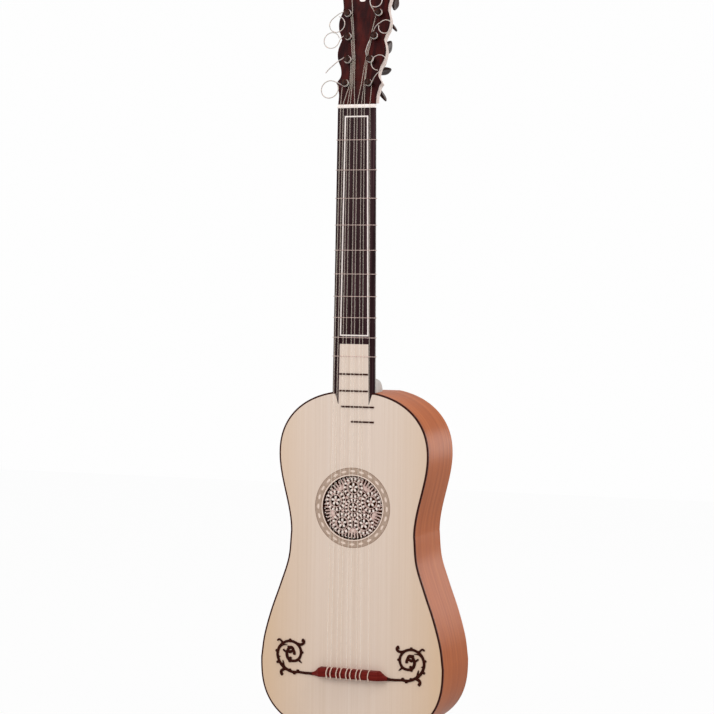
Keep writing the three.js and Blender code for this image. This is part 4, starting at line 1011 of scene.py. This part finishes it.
def thumb_piece():
    rings = []
    for i in range(GRIP_STEPS + 1):
        share = 0.02 + 0.96 * i / GRIP_STEPS
        swell = math.sin(math.pi * share**0.8) ** 0.6
        wide = GRIP_FOOT_SHARE + (1 - GRIP_FOOT_SHARE) * math.sin(math.pi * share**1.4)
        thick = GRIP_THICKNESS / 2 * swell * (1 - GRIP_HOLLOW * math.sin(math.pi * share) ** 2)
        y = stem_back - PEG_COLLAR_HEIGHT + GRIP_LENGTH * share
        ring = []
        for angle in round_angles(PEG_SIDES):
            dish = 1 - GRIP_DISH * math.sin(angle) ** 2 * math.sin(math.pi * share)
            across = GRIP_HALF_WIDTH * swell * wide * signed_power(math.cos(angle), GRIP_SQUARENESS)
            ring.append((across, y, thick * dish * math.sin(angle)))
        rings.append(ring)
    return lofted(rings)


turns = round_angles(PEG_SIDES)
shaft = lofted([[(r * math.cos(a), y, r * math.sin(a)) for a in turns] for r, y in peg_profile])
for peg, turn in zip(pegs, grip_turn_shares):
    place = HEAD_LEAN @ Matrix.Translation(peg["place"] * MM) @ Matrix.Rotation(turn * math.pi, 4, "Y")
    shape = joined([shaft, thumb_piece()])
    piece(peg["name"] + "_turned", shape, peg_wood, peg["name"], peg["name"] + "_turning", place)

# %% [markdown]
# A gut string runs from its tie loop on the bridge over the nut to its peg. The outer string of each
# side passes outside its peg, and the others pass inside, bent a little round the pegs below. The
# points are those of the CAD solids, and each bend is rounded before the string gets its thickness.

# %% Strings
WINDING_START_HEIGHT = 4.6
STRING_END_CLEARANCE = 3.4
STRING_SIDE_STEP = 1.35
STRING_BEND = 1.6
BEND_LIMIT = 2.2
STRING_SIDES = 10
NUT_STRING_CLEARANCE = 0.15
BRIDGE_FRONT_EDGE = 646.4
BRIDGE_WIDTH = 10.6
BRIDGE_HEIGHT = 10
BRIDGE_STRING_HEIGHT = 7
LOOP_CLEARANCE = 0.35
LOOP_LEAN = 2.1

bridge_rear = -BRIDGE_FRONT_EDGE - BRIDGE_WIDTH


def peg_at(side, row):
    return next(peg for peg in pegs if peg["side"] == side and peg["row"] == row)


def string_route(plan):
    gauge, row, side = plan["gauge"], plan["row"], plan["side"]
    nut_x, bridge_x = plan["nut_x"], plan["bridge_x"]
    end_x = plan["peg"]["place"].x + plan["away"] * plan["winding_radius"]
    end_z = plan["peg"]["place"].z - STRING_END_CLEARANCE
    crest = NUT_HEIGHT + gauge / 2 + NUT_STRING_CLEARANCE
    crest_in_head = HEAD_LEAN.inverted() @ (Vector((nut_x, -crest, NUT_LENGTH)) * MM) / MM
    bends = [(end_x, -WINDING_START_HEIGHT, end_z)]
    for passed in range(row - 1, -1, -1):
        post = peg_at(side, passed)["place"]
        share = (post.z - crest_in_head.z) / (end_z - crest_in_head.z)
        straight = nut_x + share * (end_x - nut_x)
        limit = side * (abs(post.x) - plan["winding_radius"] - STRING_SIDE_STEP * (row - passed))
        x = max(straight, limit) if side < 0 else min(straight, limit)
        bends.append((x, crest_in_head.y + share * (-WINDING_START_HEIGHT - crest_in_head.y), post.z))
    clear = LOOP_CLEARANCE + gauge / 2
    over = -BRIDGE_HEIGHT - clear
    level_part = [
        (nut_x, -crest, NUT_LENGTH),
        (nut_x, -crest, 0),
        (bridge_x, -BRIDGE_STRING_HEIGHT, -BRIDGE_FRONT_EDGE),
        (bridge_x, -BRIDGE_STRING_HEIGHT, bridge_rear),
        (bridge_x, -BRIDGE_STRING_HEIGHT - gauge / 2, bridge_rear - clear),
        (bridge_x, over + gauge, bridge_rear - clear),
        (bridge_x, over, bridge_rear),
        (bridge_x + LOOP_LEAN, over, -BRIDGE_FRONT_EDGE),
        (bridge_x + LOOP_LEAN, over + gauge, -BRIDGE_FRONT_EDGE + clear),
    ]
    in_head = [HEAD_LEAN @ (Vector(bend) * MM) / MM for bend in bends]
    return in_head + [Vector(point) for point in level_part]


def softened(route, reach):
    """The same route with each corner replaced by a short curve."""
    line = [route[0]]
    for before, corner, after in zip(route, route[1:], route[2:]):
        runs = [point - corner for point in (before, after)]
        start, end = [corner + run.normalized() * min(reach, run.length / BEND_LIMIT) for run in runs]
        for t in (0, 0.25, 0.5, 0.75, 1):
            line.append(start * (1 - t) ** 2 + corner * 2 * t * (1 - t) + end * t**2)
    line.append(route[-1])
    return line


for number, plan in enumerate(strings, 1):
    side = -1 if number <= len(peg_column_shares) else 1
    row = number - 1 if side < 0 else len(strings) - number
    winding_radius = PEG_TIP_RADIUS + JOINT_GAP + plan["gauge"] / 2
    plan.update(number=number, row=row, side=side, peg=peg_at(side, row), winding_radius=winding_radius)
    plan["away"] = side if row == 0 else -side
    shape = tube(softened(string_route(plan), STRING_BEND), plan["gauge"] / 2, STRING_SIDES)
    piece(f"gut_string_{number}", shape, string_gut, f"string_{number}")

# %% [markdown]
# On the bridge the spare end of each string comes back over the block and is twisted once round the
# loop, which locks it. Seen from the front that is a short pale curve beside each loop. A smooth
# line through a few points is all that it needs. Each point says how far beside the loop it lies in
# millimetres, which share of the block's width it has passed, and how far it dips.

# %% Ties
TIE_SWELL = 1.25
TIE_DROP = 2.5
TIE_SIDES = 8

tie_points = [(1.9, -0.12, 1), (1.8, -0.04, 0), (1.3, 0.14, 0), (0.8, 0.4, -0.9), (1.1, 0.68, -0.9)]
tie_points += [(1.8, 0.9, -0.4), (2.3, 1.04, 0), (2.4, 1.12, 1)]
ties = []
for plan in strings:
    radius = plan["gauge"] * TIE_SWELL / 2
    line = []
    for across, along, dip in tie_points:
        drop = TIE_DROP if dip > 0 else plan["gauge"]
        height = BRIDGE_HEIGHT + radius + LOOP_CLEARANCE - dip * drop
        line.append((plan["bridge_x"] + across, -height, bridge_rear + along * BRIDGE_WIDTH))
    ties.append(tube(spline(line, 5), radius, TIE_SIDES))
piece("gut_ties", joined(ties), tied_gut)

# %% [markdown]
# Each string makes a few turns round its peg, and its spare end springs away in a curl. The turns
# climb by the gut's thickness and half a millimetre more, and the curl rises clear of the pegs.
# Neighbouring curls lie in two layers, so that one passes over the other when its peg is turned. The
# rules are those of the CAD solids, walked in steps of a few degrees.

# %% String windings
TURN_GAP = 0.5
WINDING_SWELL = 1.2
LEAST_TURNS = 1.6
TAIL_FIRST_HEIGHT = 12.2
TAIL_HEIGHT_STEP = 1.5
TAIL_RING_CLIMB = 0.4
TAIL_RING_RADIUS = 8.4
STEPS_A_TURN = 48

# Each curl is a part of a ring: its centre across and up and its radius, in rings of the usual
# size, the share of a turn that it makes, and its sense.
tail_rings = [
    (-1.79, -1.14, 1.24, 0.88, 1),
    (1.2, -4.72, 4.76, 0.04, 1),
    (-1.97, -0.82, 1.12, 0.9, -1),
    (-1.11, -1.82, 1.12, 0.86, 1),
    (-1.5, 1.05, 0.9, 0.85, 1),
    (-0.1, 1.25, 0.88, 0.9, -1),
    (2.0, 0.8, 0.95, 0.88, -1),
    (4.45, 0.26, 4.76, 0.04, -1),
    (1.76, 2.38, 1.08, 0.88, 1),
]
tail_rise_shares = [(0, 0), (0.2, 0.3), (0.4, 0.75), (0.65, 1), (1, 1)]


def winding_route(plan):
    *sizes, ring_turns, sense = tail_rings[plan["number"] - 1]
    ring_x, ring_z, ring_radius = [size * TAIL_RING_RADIUS for size in sizes]
    spin, radius = plan["away"], plan["winding_radius"]
    lean = math.asin((sense * ring_radius - spin * radius) / math.hypot(ring_x, ring_z))
    heading = math.atan2(ring_z, ring_x) - lean
    leaving = heading - spin * math.pi / 2
    joining = heading - sense * math.pi / 2
    start = 0 if spin > 0 else math.pi
    sweep = ((leaving - start) * spin) % FULL_TURN
    while sweep < LEAST_TURNS * FULL_TURN:
        sweep += FULL_TURN
    turns = sweep / FULL_TURN
    climb = (plan["gauge"] + TURN_GAP) * turns
    steps = round(turns * STEPS_A_TURN)
    line = []
    for i in range(steps + 1):
        angle = start + spin * sweep * i / steps
        height = WINDING_START_HEIGHT + climb * i / steps
        line.append(Vector((radius * math.cos(angle), -height, radius * math.sin(angle))))
    layer = (plan["row"] + 1) % 2 + (2 if plan["side"] > 0 else 0)
    level = TAIL_FIRST_HEIGHT + TAIL_HEIGHT_STEP * layer
    curl = []
    for i in range(STEPS_A_TURN + 1):
        share = i / STEPS_A_TURN
        angle = joining + sense * share * ring_turns * FULL_TURN
        x, z = ring_x + ring_radius * math.cos(angle), ring_z + ring_radius * math.sin(angle)
        curl.append(Vector((x, -level - share * TAIL_RING_CLIMB, z)))
    last = line[-1]
    for share, rise in spline(tail_rise_shares, 4)[1:-1]:
        point = last.lerp(curl[0], share)
        point.y = last.y + rise * (curl[0].y - last.y)
        line.append(point)
    return line + curl


for plan in strings:
    shape = tube(winding_route(plan), plan["gauge"] * WINDING_SWELL / 2, STRING_SIDES)
    place = HEAD_LEAN @ Matrix.Translation(plan["peg"]["place"] * MM)
    names = [f"gut_winding_{plan['number']}", f"string_winding_{plan['number']}"]
    piece(names[0], shape, gut, names[1], plan["peg"]["name"] + "_turning", place)

# %% [markdown]
# The rosette is a ring of wood let into the spruce: a pale line at the opening, a brown band between
# two darker lines, and light oval cells set in it one after another. The cells repeat round a circle,
# so Geometry Nodes place them.

# %% Rosette
ROSETTE_CELLS = 24
CELL_RING_RADIUS = 42.4
CELL_LENGTH = 6.2
CELL_WIDTH = 2.6
CELL_THICKNESS = 0.4
CELL_SIDES = 20
PALE_LINE_WIDTH = 1.5
DARK_LINE_WIDTH = 0.8
LINE_DEPTH = 0.3
OPENING_LINING = 0.4
FLUSH = 0.02


def ring_slab(inner, outer, front=-FLUSH, back=LINE_DEPTH):
    return slab(rose_circle(outer), front, back, [rose_circle(inner)])


def grow_cells(tree, given):
    circle_of = {"Vertices": given["Count"], "Radius": given["Ring radius"]}
    ring = add(tree, "GeometryNodeMeshCircle", circle_of)
    place = add(tree, "GeometryNodeInputPosition")
    facing = add(tree, "FunctionNodeAlignRotationToVector", {"Vector": place}, axis="X")
    cell = add(tree, "GeometryNodeMeshCylinder", {"Vertices": CELL_SIDES, "Radius": 0.5, "Depth": 1})
    sizes = {"X": given["Cell width"], "Y": given["Cell length"], "Z": given["Cell thickness"]}
    size = add(tree, "ShaderNodeCombineXYZ", sizes)
    copies_of = {"Points": ring, "Instance": cell, "Rotation": facing, "Scale": size}
    copies = add(tree, "GeometryNodeInstanceOnPoints", copies_of)
    real = add(tree, "GeometryNodeRealizeInstances", {"Geometry": copies})
    upright = {"Geometry": real, "Rotation": (math.pi / 2, 0, 0), "Translation": given["Centre"]}
    stood = add(tree, "GeometryNodeTransform", upright)
    return add(tree, "GeometryNodeSetMaterial", {"Geometry": stood, "Material": given["Inlay"]})


shape = ring_slab(ROSE_OPENING, ROSETTE_RADIUS, 0, ROSETTE_DEPTH)
piece("rosette_band", shape, rosette_ground, "rosette_ring")
inner_edge = ROSE_OPENING + PALE_LINE_WIDTH
piece("rosette_pale_line", ring_slab(ROSE_OPENING, inner_edge), pale_inlay)
inner_dark = ring_slab(inner_edge, inner_edge + DARK_LINE_WIDTH)
outer_dark = ring_slab(ROSETTE_RADIUS - DARK_LINE_WIDTH, ROSETTE_RADIUS)
piece("rosette_dark_lines", joined([inner_dark, outer_dark]), rosette_line)
lining = ring_slab(ROSE_OPENING - OPENING_LINING, ROSE_OPENING, LINE_DEPTH, BOARD_THICKNESS)
piece("rose_opening_edge", lining, ebony)
settings = {
    "Count": ROSETTE_CELLS,
    "Ring radius": CELL_RING_RADIUS * MM,
    "Cell length": CELL_LENGTH * MM,
    "Cell width": CELL_WIDTH * MM,
    "Cell thickness": CELL_THICKNESS * MM,
    "Centre": (0, (CELL_THICKNESS / 2 - 2 * FLUSH) * MM, -ROSE_PLACE * MM),
    "Inlay": pale_inlay,
}
settle(realised("rosette_cells", grow_cells, settings))

# %% [markdown]
# The rose is pierced parchment in two layers. Six round fields, one in the middle and five about it,
# are edged with tiny white cups and have a flower of petals inside. A lower layer carries them and
# fills the corners between them, and through its gaps one looks into the dark body. It is the same
# parchment, and its darker colour is painted shade: the shade that the lower layer lies in. It is plain
# geometry of the traditional kind. One tree makes a field and repeats it round the middle.

# %% Rose
ROSE_THICKNESS = 2
OUTER_FIELDS = 5
FIELD_DISTANCE = 22.9
MIDDLE_FIELD_SCALE = 0.86
CUPS_IN_FIELD = 14
PETALS = 5
EDGE_BUDS = 45
SHEET = 0.6
THIN_SHEET = 0.5
LAYER_STEP = 0.9
UPRIGHT = math.pi / 2

# Half sizes of the beads across, along and deep, and the radius of the ring that each kind sits on.
CUP, CUP_RING = (1.3, 1.56, 0.7), 10.5
PETAL, PETAL_RING = (1.3, 1.8, 0.6), 3.7
BUD, BUD_RING = (0.55, 0.75, 0.5), 7.7
CORNER_BEAD, CORNER_RING = (3.9, 2.6, 0.5), 26.6
WEDGE, WEDGE_RING = (1.5, 2.1, 0.5), 13.6
EDGE_BUD, EDGE_BUD_RING = (0.7, 0.7, 0.5), ROSE_OPENING - 1.9
# Length, width and thickness of the spokes, and the radius that each is centred on.
STAY, STAY_RING = (3.6, 2.5, THIN_SHEET), 10.2
RAY, RAY_RING = (5.2, 2, THIN_SHEET), 3.2
FAN_SPOKE, FAN_RING = (7.5, 1.5, SHEET), 31.55
FAN_TURNS = (-0.4, -0.29, -0.17, -0.06, 0.06, 0.17, 0.29, 0.4)


def bead(tree, half_sizes):
    ball = add(tree, "GeometryNodeMeshIcoSphere", {"Radius": 1 * MM, "Subdivisions": 2})
    return add(tree, "GeometryNodeTransform", {"Geometry": ball, "Scale": half_sizes})


def band(tree, inner, outer, thickness=SHEET, steps=28):
    """A flat ring in X and Y."""
    circle_of = {"Resolution": steps, "Radius": (inner + outer) / 2 * MM}
    line = add(tree, "GeometryNodeCurvePrimitiveCircle", circle_of)
    sizes = {"Width": thickness * MM, "Height": (outer - inner) * MM}
    section = add(tree, "GeometryNodeCurvePrimitiveQuadrilateral", sizes)
    return add(tree, "GeometryNodeCurveToMesh", {"Curve": line, "Profile Curve": section})


def round_ring(tree, copy, count, radius, turn=0.0):
    """Copies of a piece round a circle, each turned to face outwards."""
    line = add(tree, "GeometryNodeMeshCircle", {"Vertices": count, "Radius": radius * MM})
    turned = add(tree, "GeometryNodeTransform", {"Geometry": line, "Rotation": (0, 0, turn)})
    place = add(tree, "GeometryNodeInputPosition")
    facing = add(tree, "FunctionNodeAlignRotationToVector", {"Vector": place}, axis="Y")
    copies_of = {"Points": turned, "Instance": copy, "Rotation": facing}
    return add(tree, "GeometryNodeInstanceOnPoints", copies_of)


def together(tree, parts, lift=0.0, scale=1.0):
    gathered = add(tree, "GeometryNodeJoinGeometry")
    for part in parts:
        feed(gathered, {0: part})
    moved = {"Geometry": gathered, "Translation": (0, 0, lift * MM), "Scale": (scale, scale, 1)}
    return add(tree, "GeometryNodeTransform", moved)


def spokes(tree, count, bar, radius, turn=0.0):
    """Flat bars round a circle, each centred on the line and pointing outwards."""
    length, width, thickness = [side * MM for side in bar]
    block = add(tree, "GeometryNodeMeshCube", {"Size": (width, length, thickness)})
    return round_ring(tree, block, count, radius, turn)


def grow_rose(tree, given):
    cups, fields = given["Cups"], given["Fields"]
    cup_ring = round_ring(tree, bead(tree, CUP), cups, CUP_RING)
    petal_ring = round_ring(tree, bead(tree, PETAL), PETALS, PETAL_RING, UPRIGHT)
    buds = round_ring(tree, bead(tree, BUD), cups, BUD_RING)
    light = together(tree, [cup_ring, petal_ring, buds])
    stays = spokes(tree, cups, STAY, STAY_RING)
    rays = spokes(tree, PETALS, RAY, RAY_RING, UPRIGHT)
    dark = together(tree, [band(tree, 5.2, 9), band(tree, 11.2, 13), stays, rays])

    between = UPRIGHT + math.pi / OUTER_FIELDS
    corner = together(tree, [bead(tree, CORNER_BEAD), band(tree, 3.6, 4.6, steps=16)])
    edge_buds = round_ring(tree, bead(tree, EDGE_BUD), EDGE_BUDS, EDGE_BUD_RING)
    dark_parts = [
        round_ring(tree, corner, fields, CORNER_RING, between),
        round_ring(tree, bead(tree, WEDGE), fields, WEDGE_RING, between),
        band(tree, ROSE_OPENING - 1.4, ROSE_OPENING + 3.8, 0.7, 72),
    ]
    dark_parts += [spokes(tree, fields, FAN_SPOKE, FAN_RING, between + turn) for turn in FAN_TURNS]
    layers = []
    plans = [(light, [edge_buds], LAYER_STEP, "Light"), (dark, dark_parts, 0, "Dark")]
    for field, parts, lift, finish in plans:
        middle = together(tree, [field], scale=MIDDLE_FIELD_SCALE)
        outer = round_ring(tree, field, fields, FIELD_DISTANCE, UPRIGHT)
        layer = together(tree, [middle, outer, *parts], lift)
        real = add(tree, "GeometryNodeRealizeInstances", {"Geometry": layer})
        finished = {"Geometry": real, "Material": given[finish]}
        layers.append(add(tree, "GeometryNodeSetMaterial", finished))
    both = together(tree, layers)
    upright = {"Geometry": both, "Rotation": (UPRIGHT, 0, 0), "Translation": given["Centre"]}
    return add(tree, "GeometryNodeTransform", upright)


settings = {
    "Fields": OUTER_FIELDS,
    "Cups": CUPS_IN_FIELD,
    "Centre": (0, (BOARD_THICKNESS + ROSE_THICKNESS / 2) * MM, -ROSE_PLACE * MM),
    "Light": parchment,
    "Dark": shaded_parchment,
}
rose = realised("rose_tracery", grow_rose, settings)
shade(rose.data)
settle(rose, "rose")

# %% [markdown]
# The bridge is a low block whose ends sweep down to two thin stems. From the front its upper corners
# slope down and curve out into the stems, which meet the scrolls glued on the spruce beside it. The
# tips of the stems take the scrolls' dark finish, so they are as dark as the scrolls.

# %% Bridge
BRIDGE_BLOCK_LENGTH = 73
BRIDGE_LENGTH = 109
BRIDGE_TIP_WIDTH = 2.4
BRIDGE_TIP_HEIGHT = 1.6
BRIDGE_DARK_TIPS = (-47.5, 46)
BRIDGE_SOFTNESS = 0.7

bridge_curve_shares = [(0, 0), (0.1, 0.18), (0.32, 0.58), (0.5, 0.79), (0.66, 0.9)]
bridge_curve_shares += [(0.84, 0.97), (1, 1)]
block_end = BRIDGE_BLOCK_LENGTH / 2
wing = BRIDGE_LENGTH / 2 - block_end
half = [(x, 0.0) for x in (0, block_end / 2, block_end - 0.4)]
half += [(block_end + out * wing, fall) for out, fall in spline(bridge_curve_shares, 5)]
stations = [(-x, fall) for x, fall in half[:0:-1]] + half
rings = []
for x, fall in stations:
    high = BRIDGE_HEIGHT - fall * (BRIDGE_HEIGHT - BRIDGE_TIP_HEIGHT)
    top = -BRIDGE_FRONT_EDGE - fall * (BRIDGE_WIDTH - BRIDGE_TIP_WIDTH)
    soft = min(BRIDGE_SOFTNESS, (top - bridge_rear) * 0.25)
    near, bend = soft - high, soft * 0.3
    ring = [(x, 0, bridge_rear), (x, near, bridge_rear), (x, bend - high, bridge_rear + bend)]
    ring += [(x, -high, bridge_rear + soft), (x, -high, top - soft)]
    rings.append([*ring, (x, bend - high, top - bend), (x, near, top), (x, 0, top)])
# Beyond these two places the tips of the stems take the dark finish of the scrolls.
first, last = [min(range(len(stations)), key=lambda i: abs(stations[i][0] - x)) for x in BRIDGE_DARK_TIPS]
piece("bridge_wood", lofted(rings[first : last + 1]), bridge_wood, "bridge")
piece("bridge_tips", joined([lofted(rings[: first + 1]), lofted(rings[last:])]), ebony)

# %% [markdown]
# The scrolls are fretsawn from thin dark wood and glued flat. Each is one long stroke that curls in
# on itself, with thorns, knobs and a small leaf in the middle. A stroke is a flat rod of changing
# width along a smooth line, with nearly square edges, as a fine saw leaves them.

# %% Scrolls
SCROLL_THICKNESS = 1.2
SCROLL_RADIUS = 18.5
SCROLL_PLACE = 635.5
SCROLL_CENTRES = {"scroll_bass": -75, "scroll_treble": 73.3}
SCROLL_LIFT = 0.063
SCROLL_TILT = 0.073
SCROLL_STROKE_WIDTH = 3.1
SCROLL_SIDES = 16
SCROLL_SQUARENESS = 0.55
SCROLL_END_SHARES = (0.6, 0.92)

# The places across and up are shares of the scroll's radius, and the widths of the stroke's.
scroll_stem = [(-1.75, -1.02, 1.15), (-1.28, -1.05, 1.05), (-0.98, -1.075, 1)]
scroll_stem += [(-0.646, -1.077, 0.95), (-0.467, -1.085, 1), (-0.262, -1.125, 1.1)]
scroll_stem += [(-0.031, -1.112, 1.05), (0.174, -1.053, 1.1), (0.379, -0.957, 1.15)]
scroll_stem += [(0.559, -0.837, 1.15), (0.713, -0.67, 1.1), (0.828, -0.478, 1.05)]
scroll_stem += [(0.892, -0.287, 1.05), (0.91, -0.096, 1.05), (0.879, 0.096, 1.05)]
scroll_stem += [(0.815, 0.275, 1.1), (0.718, 0.43, 1.15), (0.597, 0.562, 1.1), (0.456, 0.67, 1)]
scroll_stem += [(0.277, 0.761, 1), (0.059, 0.809, 1.05), (-0.185, 0.789, 1), (-0.39, 0.713, 1.05)]
scroll_stem += [(-0.531, 0.586, 1), (-0.641, 0.431, 1), (-0.69, 0.239, 1.05), (-0.677, 0.048, 1)]
scroll_stem += [(-0.615, -0.132, 1), (-0.505, -0.282, 1.1), (-0.351, -0.378, 1.05)]
scroll_stem += [(-0.159, -0.426, 1.05), (0.046, -0.411, 1.2), (0.187, -0.299, 1.2)]
scroll_stem += [(0.264, -0.144, 1.15), (0.277, 0.024, 1.1), (0.221, 0.191, 1.1)]
scroll_stem += [(0.149, 0.359, 1)]

crook = [(-0.36, 0.72, 1.1), (-0.56, 0.68, 1.05), (-0.73, 0.7, 1.1), (-0.86, 0.8, 1.1)]
crook += [(-0.87, 0.93, 1.2), (-0.74, 0.99, 1.5)]
leaf = [(0.187, 0.3, 1.3), (0.08, 0.39, 1.3), (-0.08, 0.4, 1.2), (-0.17, 0.26, 1.1)]
leaf += [(-0.235, 0.1, 1.1), (-0.22, -0.03, 1.25)]
hook = [(0.354, -0.993, 1.1), (0.533, -1.07, 1.1), (0.645, -1.19, 1.15), (0.63, -1.33, 1.15)]
hook += [(0.54, -1.41, 1.25)]
scroll_strokes = [
    scroll_stem,
    crook,
    [(0.53, 0.6, 0.9), (0.63, 0.71, 0.8), (0.73, 0.8, 0.75), (0.82, 0.82, 0.7), (0.93, 0.72, 0.75)],
    hook,
    [(-0.505, -0.282, 1), (-0.621, -0.383, 0.7), (-0.749, -0.478, 0.35)],
    [(0.456, -0.909, 1.1), (0.495, -0.742, 0.8), (0.521, -0.574, 0.55), (0.554, -0.467, 0.25)],
    leaf,
    [(-0.13, 0.22, 0.8), (0, 0.14, 1.15), (0.16, 0.11, 1.25)],
    [(0.17, 0.36, 1), (0.155, 0.49, 0.9)],
    [(0.277, 0.048, 0.9), (0.379, 0.108, 0.8), (0.469, 0.167, 0.75), (0.533, 0.225, 0.6)],
    [(0.149, -0.311, 1), (0.021, -0.263, 0.9), (-0.026, -0.203, 1.1)],
    [(0.738, 0.359, 0.8), (0.572, 0.478, 0.55), (0.392, 0.531, 0.4), (0.251, 0.531, 0.25)],
    [(0.059, 0.837, 1.1), (0.059, 0.96, 0.95)],
    [(-0.685, 0.203, 1.1), (-0.85, 0.19, 0.95)],
    [(0.879, 0.024, 1.1), (1.04, 0.12, 1)],
    [(0.79, -0.55, 1.1), (0.965, -0.69, 1)],
    [(0.072, -0.431, 1.1), (0.092, -0.55, 0.9)],
    [(-0.479, -1.065, 1.2), (-0.487, -0.925, 1.1)],
    [(-0.256, -1.148, 1.2), (-0.235, -1.27, 1.15)],
    [(0.059, -1.089, 1.2), (0.059, -0.945, 1.1)],
    [(0.854, -0.275, 0.7), (0.715, -0.275, 0.35)],
]


def scroll_stroke(shares, centre):
    line = []
    radii = []
    for across, up, width in spline(shares, 6):
        rise = up + SCROLL_LIFT + SCROLL_TILT * across
        x = centre + math.copysign(across, across * centre) * SCROLL_RADIUS
        line.append((x, -SCROLL_THICKNESS / 2, -SCROLL_PLACE + rise * SCROLL_RADIUS))
        radii.append(width * SCROLL_STROKE_WIDTH / 2)
    for k, share in enumerate(SCROLL_END_SHARES):
        radii[k] *= share
        radii[-1 - k] *= share
    return tube(line, radii, SCROLL_SIDES, SCROLL_THICKNESS, SCROLL_SQUARENESS)


for name, centre in SCROLL_CENTRES.items():
    strokes = [scroll_stroke(shares, centre) for shares in scroll_strokes]
    piece(name + "_carving", joined(strokes), ebony, name)

# %% [markdown]
# Inside the body the linings, blocks and bars keep their CAD shapes. They are seen only through the
# holes of the rose, so a plain bare spruce is enough.

# %% Inner pieces
inner_nodes = ["front_lining", "back_lining", "neck_block", "end_block"]
inner_nodes += ["soundboard_bar_upper", "soundboard_bar_lower"]
for name in inner_nodes:
    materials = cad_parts[name].data.materials
    materials.clear()
    materials.append(inner_spruce)
print("inner pieces:", len(inner_nodes))

# %% [markdown]
# The studio is pale and even. Large soft lights stand at the front left and at the right, and the
# sky is a plain white. A small light behind at the right, at the height of the lower body, slides
# along the ribs and gives them their sheen at the waist and the flank. The floor looks white to the
# camera and still catches a little of the instrument's shadow.

# %% Studio
FLOOR_PLACE = cad_low.z - 0.5 * MM
FLOOR_SIZE = 6.0
FLOOR_GLOW = 0.965
WHITE_LEVEL = 0.99
WORLD_STRENGTH = 0.56
WHITE = (1, 1, 1, 1)
GREY = (0.5, 0.5, 0.5, 1)

# The place and the aim of each lamp, its two sides in metres and its power in watts.
lamps = {
    "key": ((-1.2, -2.4, 0.9), (0, 0, -0.35), (1.6, 1.6), 34),
    "side": ((1.5, -0.3, 1.5), (0, 0.05, -0.5), (1.2, 1.2), 26),
    "rim": ((0.76, 1.75, -0.3), (0.1, 0.05, -0.45), (0.6, 0.5), 4.8),
}


def camera_sees(tree):
    """1 for rays that show the background: straight from the camera, mirrored or refracted."""
    path = add(tree, "ShaderNodeLightPath").outputs
    first = {0: path["Is Camera Ray"], 1: path["Is Glossy Ray"]}
    seen = add(tree, "ShaderNodeMath", first, operation="ADD")
    second = {0: seen, 1: path["Is Transmission Ray"]}
    return add(tree, "ShaderNodeMath", second, operation="ADD", use_clamp=True)


for name, (place, aim, size, power) in lamps.items():
    lamp = shown(name, bpy.data.lights.new(name, "AREA"))
    lamp.data.shape = "RECTANGLE"
    lamp.data.size, lamp.data.size_y = size
    lamp.data.energy = power
    lamp.location = place
    lamp.rotation_euler = (Vector(aim) - Vector(place)).to_track_quat("-Z", "Y").to_euler()

world = bpy.data.worlds.new("studio")
world.use_nodes = True
tree = world.node_tree
lift = {0: camera_sees(tree), 1: WHITE_LEVEL - WORLD_STRENGTH, 2: WORLD_STRENGTH}
strength = add(tree, "ShaderNodeMath", lift, operation="MULTIPLY_ADD")
feed(tree.nodes["Background"], {"Strength": strength, "Color": WHITE})
bpy.context.scene.world = world

paint, tree, shader = new_finish("floor_paint", {"Base Color": GREY, "Roughness": 1})
glow = add(tree, "ShaderNodeEmission", {"Color": WHITE, "Strength": 1})
share = add(tree, "ShaderNodeMath", {0: camera_sees(tree), 1: FLOOR_GLOW}, operation="MULTIPLY")
mixed = add(tree, "ShaderNodeMixShader", {0: share, 1: shader, 2: glow})
feed(tree.nodes["Material Output"], {"Surface": mixed})
mesh = bpy.data.meshes.new("floor")
half = FLOOR_SIZE / 2
corners = [(-half, -half), (half, -half), (half, half), (-half, half)]
mesh.from_pydata([(x, y, FLOOR_PLACE) for x, y in corners], [], [(0, 1, 2, 3)])
mesh.materials.append(paint)
shown("floor", mesh)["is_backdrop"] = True
bpy.context.scene.view_settings.view_transform = "Standard"
print("lamps:", len(lamps))

# %% [markdown]
# The last cell prints the size of the dressed model in millimetres.

# %% Finish
low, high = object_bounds()
print("visual size in mm:", [round(side / MM, 1) for side in high - low])
